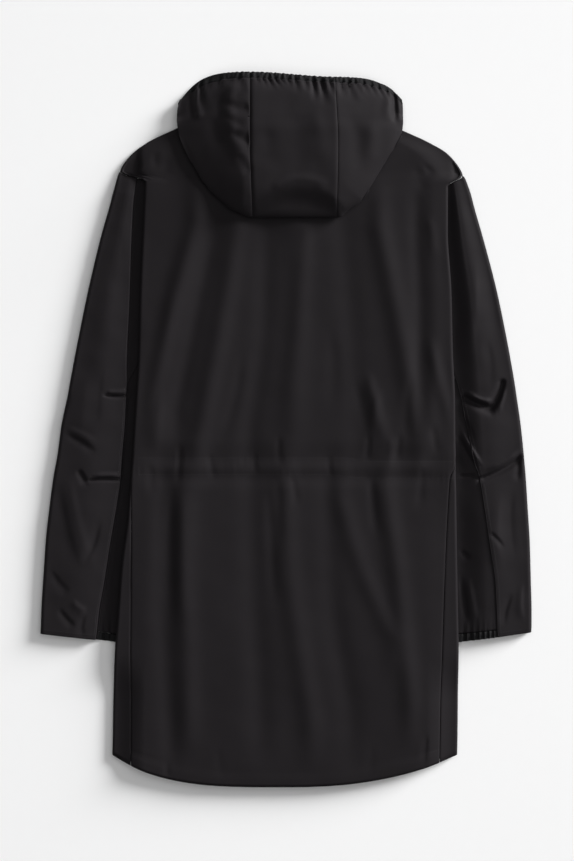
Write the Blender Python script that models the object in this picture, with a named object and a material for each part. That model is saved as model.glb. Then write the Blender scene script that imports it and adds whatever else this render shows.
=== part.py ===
"""Long hooded softshell jacket, laid flat on its front, back up, hood thrown back.

Tables and sizes are in millimetres. +X is to the right as the back is seen, +Y runs
towards the hood and +Z is up from the surface that the jacket lies on. Each cut piece
is its own wall of cloth: its outer face is worked out from the tables below, and the
wall grows inwards from there.
"""
import math
from collections import namedtuple

import bmesh
import bpy
from mathutils import Vector

MM = 0.001

# ---------------------------------------------------------------- driving sizes
WALL = 1.6              # bonded softshell cloth
SEAM_GAP = 0.3          # between two pieces at a seam
SIDE_GAP = 0.7          # the same at the side seams, which run over a rounded edge
FOLD_RADIUS = 3.5       # outer radius of the body's folded edges
LAID_SLEEVE = 5.2       # height of the sleeve where the body lies on it
LIFT = 6.0              # underside of the body where it lies on the sleeve
RAMP = 12.0             # width over which the front comes down to the surface
RAMP_CLEAR = 2.5        # from the foot of that slope to the sleeve
CUFF_RADIUS = 5.0       # outer radius of the sleeve's outer edge
HOOD_RADIUS = 17.0      # how fast the hood rounds off to its outline
HOOD_SEAT = 0.9         # gap between the hood and the back that it lies on
HOOD_LEAST = 0.6        # least height of the hood over its seat at the neck
CUFF_BAND = 11.0        # length of the gathered part of the cuff
ELASTIC_THICK = 1.2     # elastic of the hood and the cuffs
ZIP_EDGE = 4.5          # from the zip's middle to the edge of each front
ZIP_RISE = 2.2          # how far the front edges stand off the surface
ZIP_REACH = 24.0        # and how far from the zip they lie flat again
ZIP_SLOPE = 16.0        # width of that slope
TAPE_WIDTH = 12.0
TAPE_THICK = 1.0
TAPE_SLOT = 0.7         # from the zip's middle to each tape
SLIDER_Y = 440.0        # middle of the slider, just under the chin
SLIDER_LENGTH = 11.0
SLIDER_WIDTH = 8.0
SLIDER_LOW = 2.6        # underside of its lower plate
SLIDER_HIGH = 6.6       # top of its upper plate
PLATE = 1.0             # thickness of its two plates
POST = 0.8              # width of the post between them
PIVOT_Y = 438.0         # the pull swings about the bar at its end
PIVOT_Z = 1.65
PULL_LENGTH = 24.0
PULL_WIDTH = 6.0
PULL_THICK = 1.1
PULL_EYE = (2.6, 3.05)  # width and length of the eye in the pull
BAIL_WIDTH = 1.6
BAIL_WIRE = 0.8
BAIL_REACH = 1.9        # from the pivot to the outside of the bail's legs
BAIL_LOW = 0.15

# Body, from the neck to the hem. The same row of the grid meets the left edge at
# y_left, the centre back at y_mid and the right edge at y_right. fold is the distance
# of the folded edge from x = 0, seam the way round from that edge to the seam, plus on
# top and minus underneath, and rise the height of the back over the surface.
Level = namedtuple(
    "Level", "name y_left fold_left seam_left y_mid y_right fold_right seam_right rise")
BODY = [
    Level("neck point", 441, 110, -8, 424, 438, 122, -8, 8),
    Level("collar", 425, 142, -8, 412, 423, 150, -8, 9),
    Level("shoulder", 400, 194, -9, 396, 400, 200, -9, 11),
    Level("shoulder point", 383, 216, -9, 381, 383, 227, -9, 12),
    Level("notch", 360, 231, -7, 361, 354.5, 246, -7, 12),
    Level("fold start", 345, 196, -7, 346, 339, 225, -7, 13),
    Level("shoulder blade", 320, 197, -14, 322, 316, 225, -14, 14),
    Level("upper back", 271, 199.5, -26, 271, 271, 225, -26, 14),
    Level("chest", 192, 203, -36, 192, 192, 230, -36, 14),
    Level("underarm", 108, 205, -42, 108, 108, 232, -42, 14),
    Level("midriff", 42, 209, -28, 42, 42, 235, -26, 14),
    Level("above waist", -14, 212.5, -14, -14, -14, 235.5, -10, 14),
    Level("upper stitching", -40, 214, -6, -40, -40, 236, 0, 12.4),
    Level("channel", -53, 215, -3, -53, -53, 236, 4, 13.4),
    Level("lower stitching", -66, 216, 0, -66, -66, 236, 10, 12.4),
    Level("below waist", -82, 217, 3, -82, -82, 236.5, 12, 14),
    Level("hip", -125, 220.5, 7.5, -126, -125, 237, 15, 15),
    Level("seat", -190, 229, 16, -193, -190, 238, 19, 16),
    Level("thigh", -250, 233.5, 20, -257, -250, 239, 22, 16),
    Level("below cuff", -310, 238, 24, -322, -310, 240, 25, 16),
    Level("skirt", -375, 240.5, 27, -397, -375, 239.5, 26.5, 15),
    Level("above hem", -430, 241.5, 28, -467, -430, 239, 27, 13),
    Level("hem", -452, 242, 28, -496, -452, 238.5, 27, 11),
]
NECK_BOW = 2.5          # how square the neck's curve is
FRONT_NECK_BOW = 1.6
HEM_BOW_LEFT = 3.5      # the hem is squarer on the left than on the right
HEM_BOW_RIGHT = 2.4
FRONT_HEM_DROP = 20.0   # the front hem is straighter than the back's
FRONT_NECK_Y = 389.0
NECK_STEP = 6.0         # the hood comes down to the front this far inside the neck point
CENTRE_TOP = 5.0        # the centre front leans a little to the right at the top
CENTRE_HEM = 0.0
LIFT_TOP = 14.0         # the body rises onto the sleeve over this length at the shoulder
LIFT_LOW = 75.0         # it starts to come down this far above the cuff's end
LIFT_END = 60.0         # and takes this length
SLOPE_TOP = 250.0       # the fronts start to slope down to the surface here
SLOPE_FADE = 142.0      # and reach their full slope over this length
EDGE_REACH = 42.0       # the back reaches its full height this far from its edge
CREST_IN = 0.42         # a sleeve's crest starts at this share of its width
CREST_OUT = 0.5         # and ends at this one
CREST_ROOM = 0.6        # least height between the sleeve's two faces at its outer edge

# Drape folds of the back and the skirt: a soft ridge through three points, with its
# half width and its height. A negative height is a trough.
Fold = namedtuple("Fold", "name x1 y1 x2 y2 x3 y3 width height")
FOLDS = [
    Fold("left armhole", -133, 290, -163, 160, -194, 40, 15, 5.5),
    Fold("left blade", -70, 280, -87, 160, -120, -20, 16, 5.0),
    Fold("centre", 14, 280, 19, 160, 8, -20, 18, 3.5),
    Fold("right blade", 128, 280, 151, 160, 165, -10, 18, 5.5),
    Fold("right armhole", 208, 290, 212, 160, 205, 40, 11, 4.0),
    Fold("left trough", -102, 270, -125, 160, -152, 30, 12, -4.0),
    Fold("left middle trough", -28, 270, -30, 160, -50, 0, 14, -3.5),
    Fold("right middle trough", 80, 270, 90, 160, 100, 0, 16, -3.0),
    Fold("right trough", 182, 280, 186, 160, 184, 30, 11, -4.0),
    Fold("skirt left", -136, -85, -136, -200, -138, -380, 18, 5.5),
    Fold("skirt left trough", -182, -100, -178, -240, -165, -420, 15, -4.5),
    Fold("skirt centre", 12, -85, 19, -200, 44, -400, 18, 5.0),
    Fold("skirt centre trough", -48, -85, -45, -200, -35, -400, 17, -4.0),
    Fold("skirt right", 144, -85, 154, -200, 165, -370, 20, 5.0),
    Fold("skirt right trough", 88, -85, 95, -200, 110, -400, 16, -4.5),
]
FOLD_FADE = 45.0        # length over which a fold starts and ends

# Sleeves, from the armhole to the cuff. y_in and y_out are the row's height at the body
# and at the sleeve's outer edge, outer that edge's distance from x = 0, crest the
# sleeve's height, tuck how far it runs on under the body, and seam the distance from
# x = 0 of the visible seam between the upper and the under sleeve.
Girth = namedtuple("Girth", "name y_in y_out outer crest tuck seam")
SLEEVE_LEFT = [
    Girth("armhole", 344.4, 359.4, 231.3, 8.5, 8, 198),
    Girth("cap", 328, 337, 239, 12, 10, 198.5),
    Girth("upper cap", 307, 312, 245.5, 14.5, 15, 199),
    Girth("lower cap", 271, 272, 257, 17, 23, 201),
    Girth("bicep", 192, 192, 276, 18, 34, 204.5),
    Girth("underarm", 108, 108, 293, 17, 40, 203),
    Girth("above elbow", 65, 65, 301, 16, 39, 220),
    Girth("elbow tuck", 48, 48, 304, 14.5, 38.5, 221),
    Girth("elbow", 5, 8, 312.5, 17, 37, 223),
    Girth("lower elbow", -40, -36, 318.5, 16, 34, 227),
    Girth("second tuck", -69, -66, 324, 13.5, 32, 229),
    Girth("forearm", -110, -104, 329, 17, 29, 235),
    Girth("lower forearm", -160, -153, 334.5, 17, 25, 243.5),
    Girth("wrist", -215, -206, 338, 15, 21, 252),
    Girth("cuff seam", -255, -246, 340.5, 13.5, 18, 259),
    Girth("cuff", -284, -273, 341.5, 12.5, 16, 262),
    Girth("cuff end", -295, -283.5, 342, 12, 15, 263.5),
]
SLEEVE_RIGHT = [
    Girth("armhole", 338.4, 353.9, 246.3, 8.5, 8, 227),
    Girth("cap", 324, 333, 256, 12, 10, 226.5),
    Girth("upper cap", 302, 307, 263, 14.5, 15, 226.5),
    Girth("lower cap", 268, 269, 274, 17, 23, 226.5),
    Girth("bicep", 192, 192, 294, 18, 34, 231.5),
    Girth("underarm", 108, 108, 311, 17, 40, 226),
    Girth("above elbow", 65, 65, 318.5, 16, 39, 239),
    Girth("elbow tuck", 48, 48, 321, 14.5, 38.5, 243),
    Girth("elbow", 5, 6, 327, 17, 37, 252),
    Girth("lower elbow", -40, -38, 331.5, 16, 34, 261),
    Girth("second tuck", -69, -67, 334, 13.5, 32, 269.5),
    Girth("forearm", -110, -107, 336.5, 17, 29, 276),
    Girth("lower forearm", -160, -156, 339.5, 17, 25, 283),
    Girth("wrist", -215, -210, 341, 15, 21, 291),
    Girth("cuff seam", -255, -250, 342, 13.5, 18, 293),
    Girth("cuff", -284, -272, 342, 12.5, 16, 294),
    Girth("cuff end", -295.5, -281.5, 341.5, 12, 15, 295),
]
FRONT_SEAM = 0.45       # hidden front seam of the sleeve, as a share of its width

# Hood, from its opening to the fold over the back. y_seam is a row's height at the
# panel seams and y_edge at the outline. x is the outline, seam the panel seam.
Hood = namedtuple("Hood", "name y_seam y_edge left seam_left seam_right right rise")
HOOD = [
    Hood("opening", 496, 459, -147, -50, 68, 161, 23),
    Hood("band", 487.5, 454, -149, -50, 68.5, 162, 25),
    Hood("gathers", 470, 444, -151, -50, 69, 162.5, 31),
    Hood("brow", 450, 436, -151.5, -50, 70, 162.6, 35),
    Hood("neck", 431, 429, -151.5, -50, 71, 162.6, 38),
    Hood("crown", 412, 412, -149, -50, 72, 161, 40),
    Hood("upper back", 388, 388, -140, -50, 72.3, 148.5, 40),
    Hood("back", 362, 362, -125.5, -49, 72, 132, 40),
    Hood("lower back", 338, 338, -110, -48, 71.5, 118, 39),
    Hood("turn", 318, 318, -90.5, -47, 71, 105, 38),
    Hood("lower turn", 307, 304, -73.5, -46.5, 71, 86, 38),
    Hood("bottom", 302.5, 298, -61, -46.2, 70.9, 79, 38),
    Hood("fold top", 299, 295.6, -55, -46.2, 70.9, 76.5, 38),
    Hood("fold side", 296.3, 294.6, -51.5, -46.2, 70.9, 74, 38),
    Hood("fold edge", 294.9, 294.4, -49, -46.2, 70.9, 72.5, 38),
    Hood("fold", 294.4, 294.4, -46.35, -46.2, 70.9, 71.05, 38),
]
NECK_ROW = 4            # row of the hood that meets the neck
FOLD_END = 15           # row at the very edge of the fold under, where the side panels end
CORNER_BOW = 4.0        # how square the hood's upper corners are
CHIN_Y = 455.0
NECK_SIDE_LEFT = -110.0
NECK_SIDE_RIGHT = 122.0

# Gathers under the hood's elastic: place, length down the hood and depth.
Gather = namedtuple("Gather", "x length width depth")
GATHERS = [
    Gather(-120, 40, 6, 2.5), Gather(-92, 24, 6, 1.6), Gather(-26, 20, 6, 2.0),
    Gather(10, 24, 6, 1.6), Gather(44, 36, 8, 3.2), Gather(84, 36, 8, 2.6),
    Gather(118, 24, 6, 1.8), Gather(148, 40, 6, 2.4),
]
BAND_WAVE = 10.0        # length of one wave of the gathered band
BAND_DEPTH = 0.7
CUFF_WAVE = 7.5
CUFF_DEPTH = 1.1
BAND_GAP = 0.1          # share of the band's width left open beside the panels
BAND_STEP = 2.5
BAND_LOW = 15.0         # the band is gathered where it is higher than this
BAND_FADE = 6.0
SPREAD = 1.7            # columns crowd towards the hood's outline
NECK_ROOM = 12.0        # beyond this from the outline the rows follow the neck point
NECK_GAP = 0.5          # between the hood and the neck of the body
RIGHT_DROP = 7.0        # the opening is lower at the right seam than at the left
CORNER_SHARE = 3        # and reaches that within a third of the panel's width

# Rows of the tables that something starts or ends at.
NOTCH_ROW = 4
FOLD_ROW = 5
UNDERARM_ROW = 9
HEM_DROP_ROW = 14       # the fronts grow shorter than the back from here
HEM_DROP_ROWS = 8
SLEEVE_UNDER_ROW = 5    # the under sleeve starts here
CUFF_ROW = 15

# Rows and columns of the walls. Ways are measured round from the folded edge.
QUARTER = FOLD_RADIUS * math.pi / 2
BACK_WAYS = [-200, -200, -26, -14, -QUARTER, -QUARTER / 2, 0, QUARTER / 2, QUARTER, 18, 34]
FRONT_WAYS = [200, 200, QUARTER, QUARTER / 2, 0, -QUARTER / 2, -QUARTER]
RAMP_SHARES = (0, 0.3, 0.7, 1.05)
SELVEDGE = 0.15         # first column beside a seam
STITCH_STEP = 1.2       # columns crowd to this where a seam passes over them
BACK_MIDDLE = 14
FRONT_MIDDLE = 4
BODY_ROWS = [0, 1, 2, 3, 4, 5, 6, 7, 7.5, 8, 8.5, 9, 9.5, 10, 11, 11.3, 11.6, 12, 12.5, 13, 14,
             15, 16, 17, 18, 19, 20, 21, 22]
SLEEVE_CLEAR = 1.0      # the sleeve starts to rise this far out from the body's edge
SLEEVE_TOP = 6
SLEEVE_TURN = 4
SLEEVE_LOW = 2
CAP_ROWS = [0, 1, 2, 3, 3.5, 4, 4.5, SLEEVE_UNDER_ROW]
ARM_ROWS = [SLEEVE_UNDER_ROW, 6, 7, 8, 9, 10, 11, 12, 13, 14, CUFF_ROW, 16]
UNDER_ROWS = [SLEEVE_UNDER_ROW + 0.008, 6, 7, 8, 9, 10, 11, 12, 13, 14, CUFF_ROW]
UNDER_TOP = 4
UNDER_LOW = 2
INNER_TURN = 3
CUFF_TOP = 22
CUFF_LOW = 6
HOOD_UP = 6
HOOD_LOW = 3
HOOD_NECK = 3
HOOD_CENTRE = 10
TAPE_ROWS = 22

Finish = namedtuple("Finish", "name colour roughness metallic")
SOFTSHELL = Finish("softshell", (0.014, 0.013, 0.015), 0.62, 0.0)
ELASTIC = Finish("elastic", (0.007, 0.007, 0.008), 0.75, 0.0)
TAPE = Finish("zip_tape", (0.008, 0.008, 0.009), 0.7, 0.0)
METAL = Finish("zip_metal", (0.02, 0.02, 0.022), 0.35, 0.9)


# ---------------------------------------------------------------- curves
def soft(t):
    """Smooth step from 0 to 1."""
    t = min(max(t, 0.0), 1.0)
    return t * t * (3 - 2 * t)


def curve(places, values):
    """Smooth curve through points in rising or falling order, with no overshoot."""
    pairs = sorted(zip(places, values))
    xs = [p[0] for p in pairs]
    ys = [p[1] for p in pairs]
    steps = [xs[i + 1] - xs[i] for i in range(len(xs) - 1)]
    slopes = [(ys[i + 1] - ys[i]) / steps[i] for i in range(len(steps))]
    ends = [slopes[0]]
    for a, b in zip(slopes, slopes[1:]):
        ends.append(2 * a * b / (a + b) if a * b > 0 else 0.0)
    ends.append(slopes[-1])

    def read(x):
        x = min(max(x, xs[0]), xs[-1])
        i = max(k for k in range(len(steps)) if xs[k] <= x)
        t = (x - xs[i]) / steps[i]
        h = steps[i]
        return (ys[i] * (1 + 2 * t) * (1 - t) ** 2 + ends[i] * h * t * (1 - t) ** 2
                + ys[i + 1] * t * t * (3 - 2 * t) + ends[i + 1] * h * t * t * (t - 1))
    return read


def column(table, name, by=None):
    """A table's column as a curve over its rows, or over another column."""
    places = [getattr(row, by) for row in table] if by else list(range(len(table)))
    return curve(places, [getattr(row, name) for row in table])


# ---------------------------------------------------------------- body
class Side:
    """One half of the body, where x is measured outwards from x = 0."""

    def __init__(self, sign, word, sleeve):
        self.sign = sign
        self.row_y = column(BODY, "y_" + word)
        self.row_fold = column(BODY, "fold_" + word)
        self.row_seam = column(BODY, "seam_" + word)
        self.fold = column(BODY, "fold_" + word, "y_" + word)
        self.hem_bow = HEM_BOW_LEFT if sign < 0 else HEM_BOW_RIGHT
        self.neck_side = abs(NECK_SIDE_LEFT if sign < 0 else NECK_SIDE_RIGHT)
        self.sleeve = sleeve
        self.tuck = column(sleeve, "tuck", "y_in")
        self.cuff_y = sleeve[-1].y_in


LEFT = Side(-1, "left", SLEEVE_LEFT)
RIGHT = Side(1, "right", SLEEVE_RIGHT)
BACK_RISE = column(BODY, "rise", "y_mid")
MID_Y = column(BODY, "y_mid")


def side_of(x):
    return LEFT if x < 0 else RIGHT


def centre_front(y):
    share = (y - BODY[-1].y_mid) / (CHIN_Y - BODY[-1].y_mid)
    return CENTRE_HEM + (CENTRE_TOP - CENTRE_HEM) * share


def fold_path(fold):
    return curve([fold.y1, fold.y2, fold.y3], [fold.x1, fold.x2, fold.x3])


PATHS = [fold_path(fold) for fold in FOLDS]


def drape(x, y):
    """Height of the drape folds over the plain back."""
    height = 0.0
    for fold, path in zip(FOLDS, PATHS):
        span = soft((fold.y1 + FOLD_FADE - y) / FOLD_FADE)
        span *= soft((y - fold.y3 + FOLD_FADE) / FOLD_FADE)
        height += fold.height * span * math.exp(-((x - path(y)) / fold.width) ** 2)
    return height


def lift(side, y):
    """Height of the body's underside at its edge, where it lies on the sleeve."""
    start = BODY[NOTCH_ROW].y_left
    top = soft((start - y) / LIFT_TOP)
    end = soft((y - side.cuff_y + LIFT_LOW) / LIFT_END)
    return LIFT * top * end


def under(x, y):
    """Outer face of the front panels."""
    side = side_of(x)
    edge = side.fold(y)
    foot = edge - side.tuck(y) - RAMP - RAMP_CLEAR
    z = lift(side, y) * soft((abs(x) - foot) / RAMP) * soft((SLOPE_TOP - y) / SLOPE_FADE)
    return z + zip_rise(x, y)


def zip_rise(x, y):
    """How far the cloth stands off the surface beside the zip."""
    return ZIP_RISE * soft((ZIP_REACH - abs(x - centre_front(y))) / ZIP_SLOPE)


def over(x, y):
    """Outer face of the back, as far as its rounded edges."""
    side = side_of(x)
    edge_top = lift(side, y) + 2 * FOLD_RADIUS
    inwards = side.fold(y) - FOLD_RADIUS - abs(x)
    plain = BACK_RISE(y) + drape(x, y)
    return edge_top + (plain - edge_top) * soft(inwards / EDGE_REACH)


def row_height(side, row, share):
    """How far along the body a row lies, a share of the way from the centre out."""
    y_side = side.row_y(row)
    y_mid = MID_Y(row)
    bow = NECK_BOW if row < FOLD_ROW else side.hem_bow
    return y_side + (y_mid - y_side) * (1 - share ** bow)


def round_edge(side, row, way):
    """A point on the body's outer face, a way round from its folded edge."""
    edge = side.row_fold(row)
    y = side.row_y(row)
    low = lift(side, y)
    if abs(way) <= QUARTER:
        angle = way / FOLD_RADIUS
        x = edge - FOLD_RADIUS * (1 - math.cos(angle))
        return side.sign * x, low + FOLD_RADIUS * (1 + math.sin(angle))
    x = side.sign * (edge - FOLD_RADIUS - (abs(way) - QUARTER))
    return x, None


def body_point(side, row, way, on_top, shift_y=0.0):
    """Point of the body at a row, a way round from the folded edge."""
    x, z = round_edge(side, row, way)
    share = min(abs(x) / side.row_fold(row), 1.0)
    y = row_height(side, row, share) + shift_y
    if z is None:
        if on_top:
            z = over(x, y)
        elif row < UNDERARM_ROW:
            z = lift(side, y)
        else:
            z = under(x, y)
    return (x, y, z)



def crowd(i):
    """Least distance of a column from the seam that its panel starts at."""
    return 0.0 if i == 0 else SELVEDGE + STITCH_STEP * (i - 1)


def back_row(row):
    def flank(side):
        seam = side.row_seam(row) + SIDE_GAP / 2
        ways = [max(way, seam + crowd(i)) for i, way in enumerate(BACK_WAYS)]
        return [body_point(side, row, way, way > 0) for way in ways]
    left = flank(LEFT)
    right = flank(RIGHT)
    points = list(left)
    for i in range(1, BACK_MIDDLE):
        x = left[-1][0] + (right[-1][0] - left[-1][0]) * i / BACK_MIDDLE
        side = side_of(x)
        y = row_height(side, row, abs(x) / side.row_fold(row))
        points.append((x, y, over(x, y)))
    return points + right[::-1]


def neck_line(x, back):
    """The neck seam, which is lower at the front."""
    side = side_of(x)
    share = min(abs(x) / side.neck_side, 1.0)
    low, bow = (MID_Y(0), NECK_BOW) if back else (FRONT_NECK_Y, FRONT_NECK_BOW)
    return side.row_y(0) + (low - side.row_y(0)) * (1 - share ** bow)


def front_y(side, row, share):
    """The front's rows, with its lower neck and its straighter hem."""
    y = row_height(side, row, share)
    if row < FOLD_ROW:
        x = side.sign * share * side.row_fold(row)
        drop = neck_line(x, True) - neck_line(x, False)
        y -= drop * (1 - row / FOLD_ROW)
    if row > UNDERARM_ROW:
        y += FRONT_HEM_DROP * (1 - share ** 2) * soft((row - HEM_DROP_ROW) / HEM_DROP_ROWS)
    return y


def front_row(side, row):
    points = []
    edge = side.row_fold(row)
    tuck = side.tuck(side.row_y(row))
    bends = [tuck / 2] + [tuck + RAMP_CLEAR + RAMP * share for share in RAMP_SHARES]
    if NOTCH_ROW <= row < UNDERARM_ROW:
        # Along the armhole the front lies flat and ends at its own seam.
        count = len(FRONT_WAYS) + len(bends)
        for i in range(count):
            x = side.sign * (edge - tuck - SEAM_GAP - crowd(i))
            y = front_y(side, row, abs(x) / edge)
            points.append((x, y, under(x, y)))
    else:
        seam = side.row_seam(row) - SIDE_GAP / 2
        ways = FRONT_WAYS + [FOLD_RADIUS - QUARTER - bend for bend in bends]
        for i, way in enumerate(ways):
            way = min(way, seam - crowd(i))
            x, y, z = body_point(side, row, way, way > 0)
            if way < -QUARTER:
                y = front_y(side, row, abs(x) / edge)
                z = under(x, y)
            points.append((x, y, z))
    inner = points[-1][0]
    for i in range(1, FRONT_MIDDLE + 1):
        y = points[-1][1]
        edge = centre_front(y) + side.sign * ZIP_EDGE
        x = inner + (edge - inner) * i / FRONT_MIDDLE
        share = min(abs(x) / side.row_fold(row), 1.0)
        y = front_y(side, row, share)
        points.append((x, y, under(x, y)))
    return points


# ---------------------------------------------------------------- sleeves
class Arm:
    """One sleeve, with x measured outwards from x = 0."""

    def __init__(self, side):
        self.side = side
        self.get = {name: column(side.sleeve, name)
                    for name in ("y_in", "y_out", "outer", "crest", "tuck", "seam")}

    def edge(self, row):
        """Where the sleeve comes out from under the body's folded edge."""
        return self.side.fold(self.get["y_in"](row))

    def inner(self, row):
        return self.edge(row) - self.get["tuck"](row)

    def low_seam(self, row):
        """The hidden front seam, on the underside."""
        edge = self.edge(row)
        return edge + FRONT_SEAM * (self.get["outer"](row) - edge)

    def radius(self, row):
        return min(CUFF_RADIUS, self.get["crest"](row) / 2 - CREST_ROOM)

    def place(self, row, x, z):
        """Turns a point of the section into a place, on the row's slanted line."""
        edge = self.edge(row)
        share = min(max((x - edge) / (self.get["outer"](row) - edge), 0.0), 1.0)
        y = self.get["y_in"](row) + (self.get["y_out"](row) - self.get["y_in"](row)) * share
        return (self.side.sign * x, y, z)

    def top(self, row, x):
        """Height of the upper face of the sleeve."""
        edge = self.edge(row) + SLEEVE_CLEAR
        outer = self.get["outer"](row)
        round_start = outer - self.radius(row)
        crest = self.get["crest"](row)
        share = (x - edge) / max(round_start - edge, 1.0)
        end = 2 * self.radius(row)
        return (LAID_SLEEVE + (crest - LAID_SLEEVE) * soft(share / CREST_IN)
                - (crest - end) * soft((share - CREST_OUT) / (1 - CREST_OUT)))

    def outer_turn(self, row, count):
        radius = self.radius(row)
        middle = self.get["outer"](row) - radius
        angles = [math.pi * (0.5 - i / count) for i in range(1, count + 1)]
        return [(middle + radius * math.cos(a), radius + radius * math.sin(a))
                for a in angles]


ARM_LEFT = Arm(LEFT)
ARM_RIGHT = Arm(RIGHT)


def between(start, end, count, selvedge):
    """Places from start to end, with a narrow column at the start beside a seam."""
    first = start + selvedge * (1 if end > start else -1)
    rest = [first + (end - first) * i / count for i in range(count + 1)]
    return [start] + rest if selvedge else rest


def sleeve_section(arm, row, cap):
    """Upper sleeve: over the top, round the outer edge and back along the underside."""
    start = arm.get["seam"](row) + SEAM_GAP / 2
    end = arm.low_seam(row) + SEAM_GAP / 2
    round_start = arm.get["outer"](row) - arm.radius(row)
    xs = between(start, round_start, SLEEVE_TOP, SELVEDGE)
    low = between(end, round_start, SLEEVE_LOW, SELVEDGE)[::-1][1:]
    if cap:
        inner = arm.inner(row)
        first = [inner, (inner + start) / 2, start - 3]
        xs = first + xs
        low += [end + (inner - end) * i / 3 for i in range(1, 4)]
    section = [(x, arm.top(row, x)) for x in xs]
    return section + arm.outer_turn(row, SLEEVE_TURN) + [(x, 0.0) for x in low]


def sleeve_upper(arm):
    """Grids of the upper sleeve: its cap as far as the underarm, and the arm below."""
    cap = [[arm.place(row, x, z) for x, z in sleeve_section(arm, row, True)]
           for row in CAP_ROWS]
    rest = [[arm.place(row, x, z) for x, z in sleeve_section(arm, row, False)]
            for row in ARM_ROWS]
    return [cap, rest]


def under_section(arm, row, count_top, count_low):
    """Under sleeve: from the visible seam inwards, round and back to the front seam."""
    start = arm.get["seam"](row) - SEAM_GAP / 2
    end = arm.low_seam(row) - SEAM_GAP / 2
    radius = LAID_SLEEVE / 2
    middle = arm.inner(row) + radius
    section = [(x, arm.top(row, x)) for x in between(start, middle, count_top, SELVEDGE)]
    for i in range(1, INNER_TURN + 1):
        angle = math.pi * (0.5 + i / INNER_TURN)
        section.append((middle + radius * math.cos(angle), radius * (1 + math.sin(angle))))
    low = between(end, middle, count_low, SELVEDGE)[::-1][1:]
    return section + [(x, 0.0) for x in low]


def sleeve_under(arm):
    return [[[arm.place(row, x, z) for x, z in under_section(arm, row, UNDER_TOP, UNDER_LOW)]
             for row in UNDER_ROWS]]


def cuff_band(arm):
    """The gathered hem of the under sleeve."""
    start = CUFF_ROW + SEAM_GAP / CUFF_BAND
    rows = []
    for step in range(3):
        row = start + (CUFF_ROW + 1 - start) * step / 2
        points = []
        for x, z in under_section(arm, row, CUFF_TOP, CUFF_LOW):
            seen = soft((x - arm.edge(row)) / 10) * soft((arm.get["seam"](row) - x) / 8)
            wave = math.sin(2 * math.pi * x / CUFF_WAVE) * CUFF_DEPTH * step / 2
            points.append(arm.place(row, x, z + wave * seen if z > 1 else z))
        rows.append(points)
    return [rows]


# ---------------------------------------------------------------- hood
HOOD_COLUMNS = {name: column(HOOD, name)
                for name in ("y_seam", "y_edge", "left", "seam_left", "seam_right", "right",
                             "rise")}
OUTLINE = ([(row.left, row.y_edge) for row in HOOD]
           + [(row.right, row.y_edge) for row in HOOD[::-1]])


def from_outline(x, y):
    """Distance inwards from the hood's outline."""
    best = math.inf
    for (x1, y1), (x2, y2) in zip(OUTLINE, OUTLINE[1:]):
        dx, dy = x2 - x1, y2 - y1
        t = ((x - x1) * dx + (y - y1) * dy) / (dx * dx + dy * dy)
        t = min(max(t, 0.0), 1.0)
        best = min(best, math.hypot(x - x1 - t * dx, y - y1 - t * dy))
    return best


def swell(x, y):
    """Share of the hood's half height at a place, 0 at its outline."""
    near = 1 - min(from_outline(x, y) / HOOD_RADIUS, 1.0)
    return math.sqrt(max(1 - near * near, 0.0))


def gather(x, y, y_top):
    depth = 0.0
    for g in GATHERS:
        down = max(1 - (y_top - y) / g.length, 0.0)
        depth += g.depth * soft(down) * math.exp(-((x - g.x) / g.width) ** 2)
    return depth


def hood_floor(x, y, row, back):
    """Height that the hood's lower face rests at: on the back, or past the neck."""
    seat = BODY[0].rise + HOOD_SEAT + HOOD_LEAST
    if row > NECK_ROW:
        return over(x, min(y, BODY[1].y_mid)) + HOOD_SEAT
    if row < NECK_ROW:
        return zip_rise(x, y)
    if back:
        return seat
    inside = (side_of(x).neck_side - abs(x)) / NECK_STEP
    return seat * (1 - soft(inside)) + zip_rise(x, y)


def hood_point(x, y, row, upper, back):
    top = HOOD_COLUMNS["rise"](row)
    floor = hood_floor(x, y, row, back)
    middle = (top + floor) / 2
    half = (top - floor) / 2 * swell(x, y)
    if upper:
        return (x, y, middle + half - gather(x, y, opening_y(x)))
    return (x, y, middle - half)


def row_y(row, share):
    """Height along the jacket, a share of the way from the outline to the seam."""
    edge = HOOD_COLUMNS["y_edge"](row)
    seam = HOOD_COLUMNS["y_seam"](row)
    return edge + (seam - edge) * (1 - (1 - share) ** CORNER_BOW)


def droop(row, across):
    """The opening's slant, which fades down the hood. across is 0 left and 1 right."""
    return RIGHT_DROP * soft(across) * soft(1 - row / NECK_ROW)


def opening_y(x):
    """Edge of the hood's opening at a place."""
    first = HOOD[0]
    if x < first.seam_left:
        share = (x - first.left) / (first.seam_left - first.left)
    elif x > first.seam_right:
        share = (first.right - x) / (first.right - first.seam_right)
    else:
        share = 1.0
    across = (x - first.seam_left) / (first.seam_right - first.seam_left)
    return row_y(0, min(max(share, 0.0), 1.0)) - droop(0, across) * min(share * CORNER_SHARE, 1.0)


def side_upper(sign, row, count):
    """A side panel's upper face, from its seam to the outline."""
    word = "left" if sign < 0 else "right"
    seam = HOOD_COLUMNS["seam_" + word](row) + sign * SEAM_GAP / 2
    edge = HOOD_COLUMNS[word](row)
    shares = [((count - i) / count) ** SPREAD for i in range(count + 1)]
    selvedge = 1 - min(SELVEDGE / max(abs(edge - seam), SELVEDGE), (1 - shares[1]) / 2)
    shares = [shares[0], selvedge] + shares[1:]
    points = []
    for share in shares:
        x = edge + (seam - edge) * share
        y = row_y(row, share)
        if sign > 0:
            y -= droop(row, 1.0) * min(share * CORNER_SHARE, 1.0)
        points.append(hood_point(x, y, row, True, True))
    return points


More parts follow.
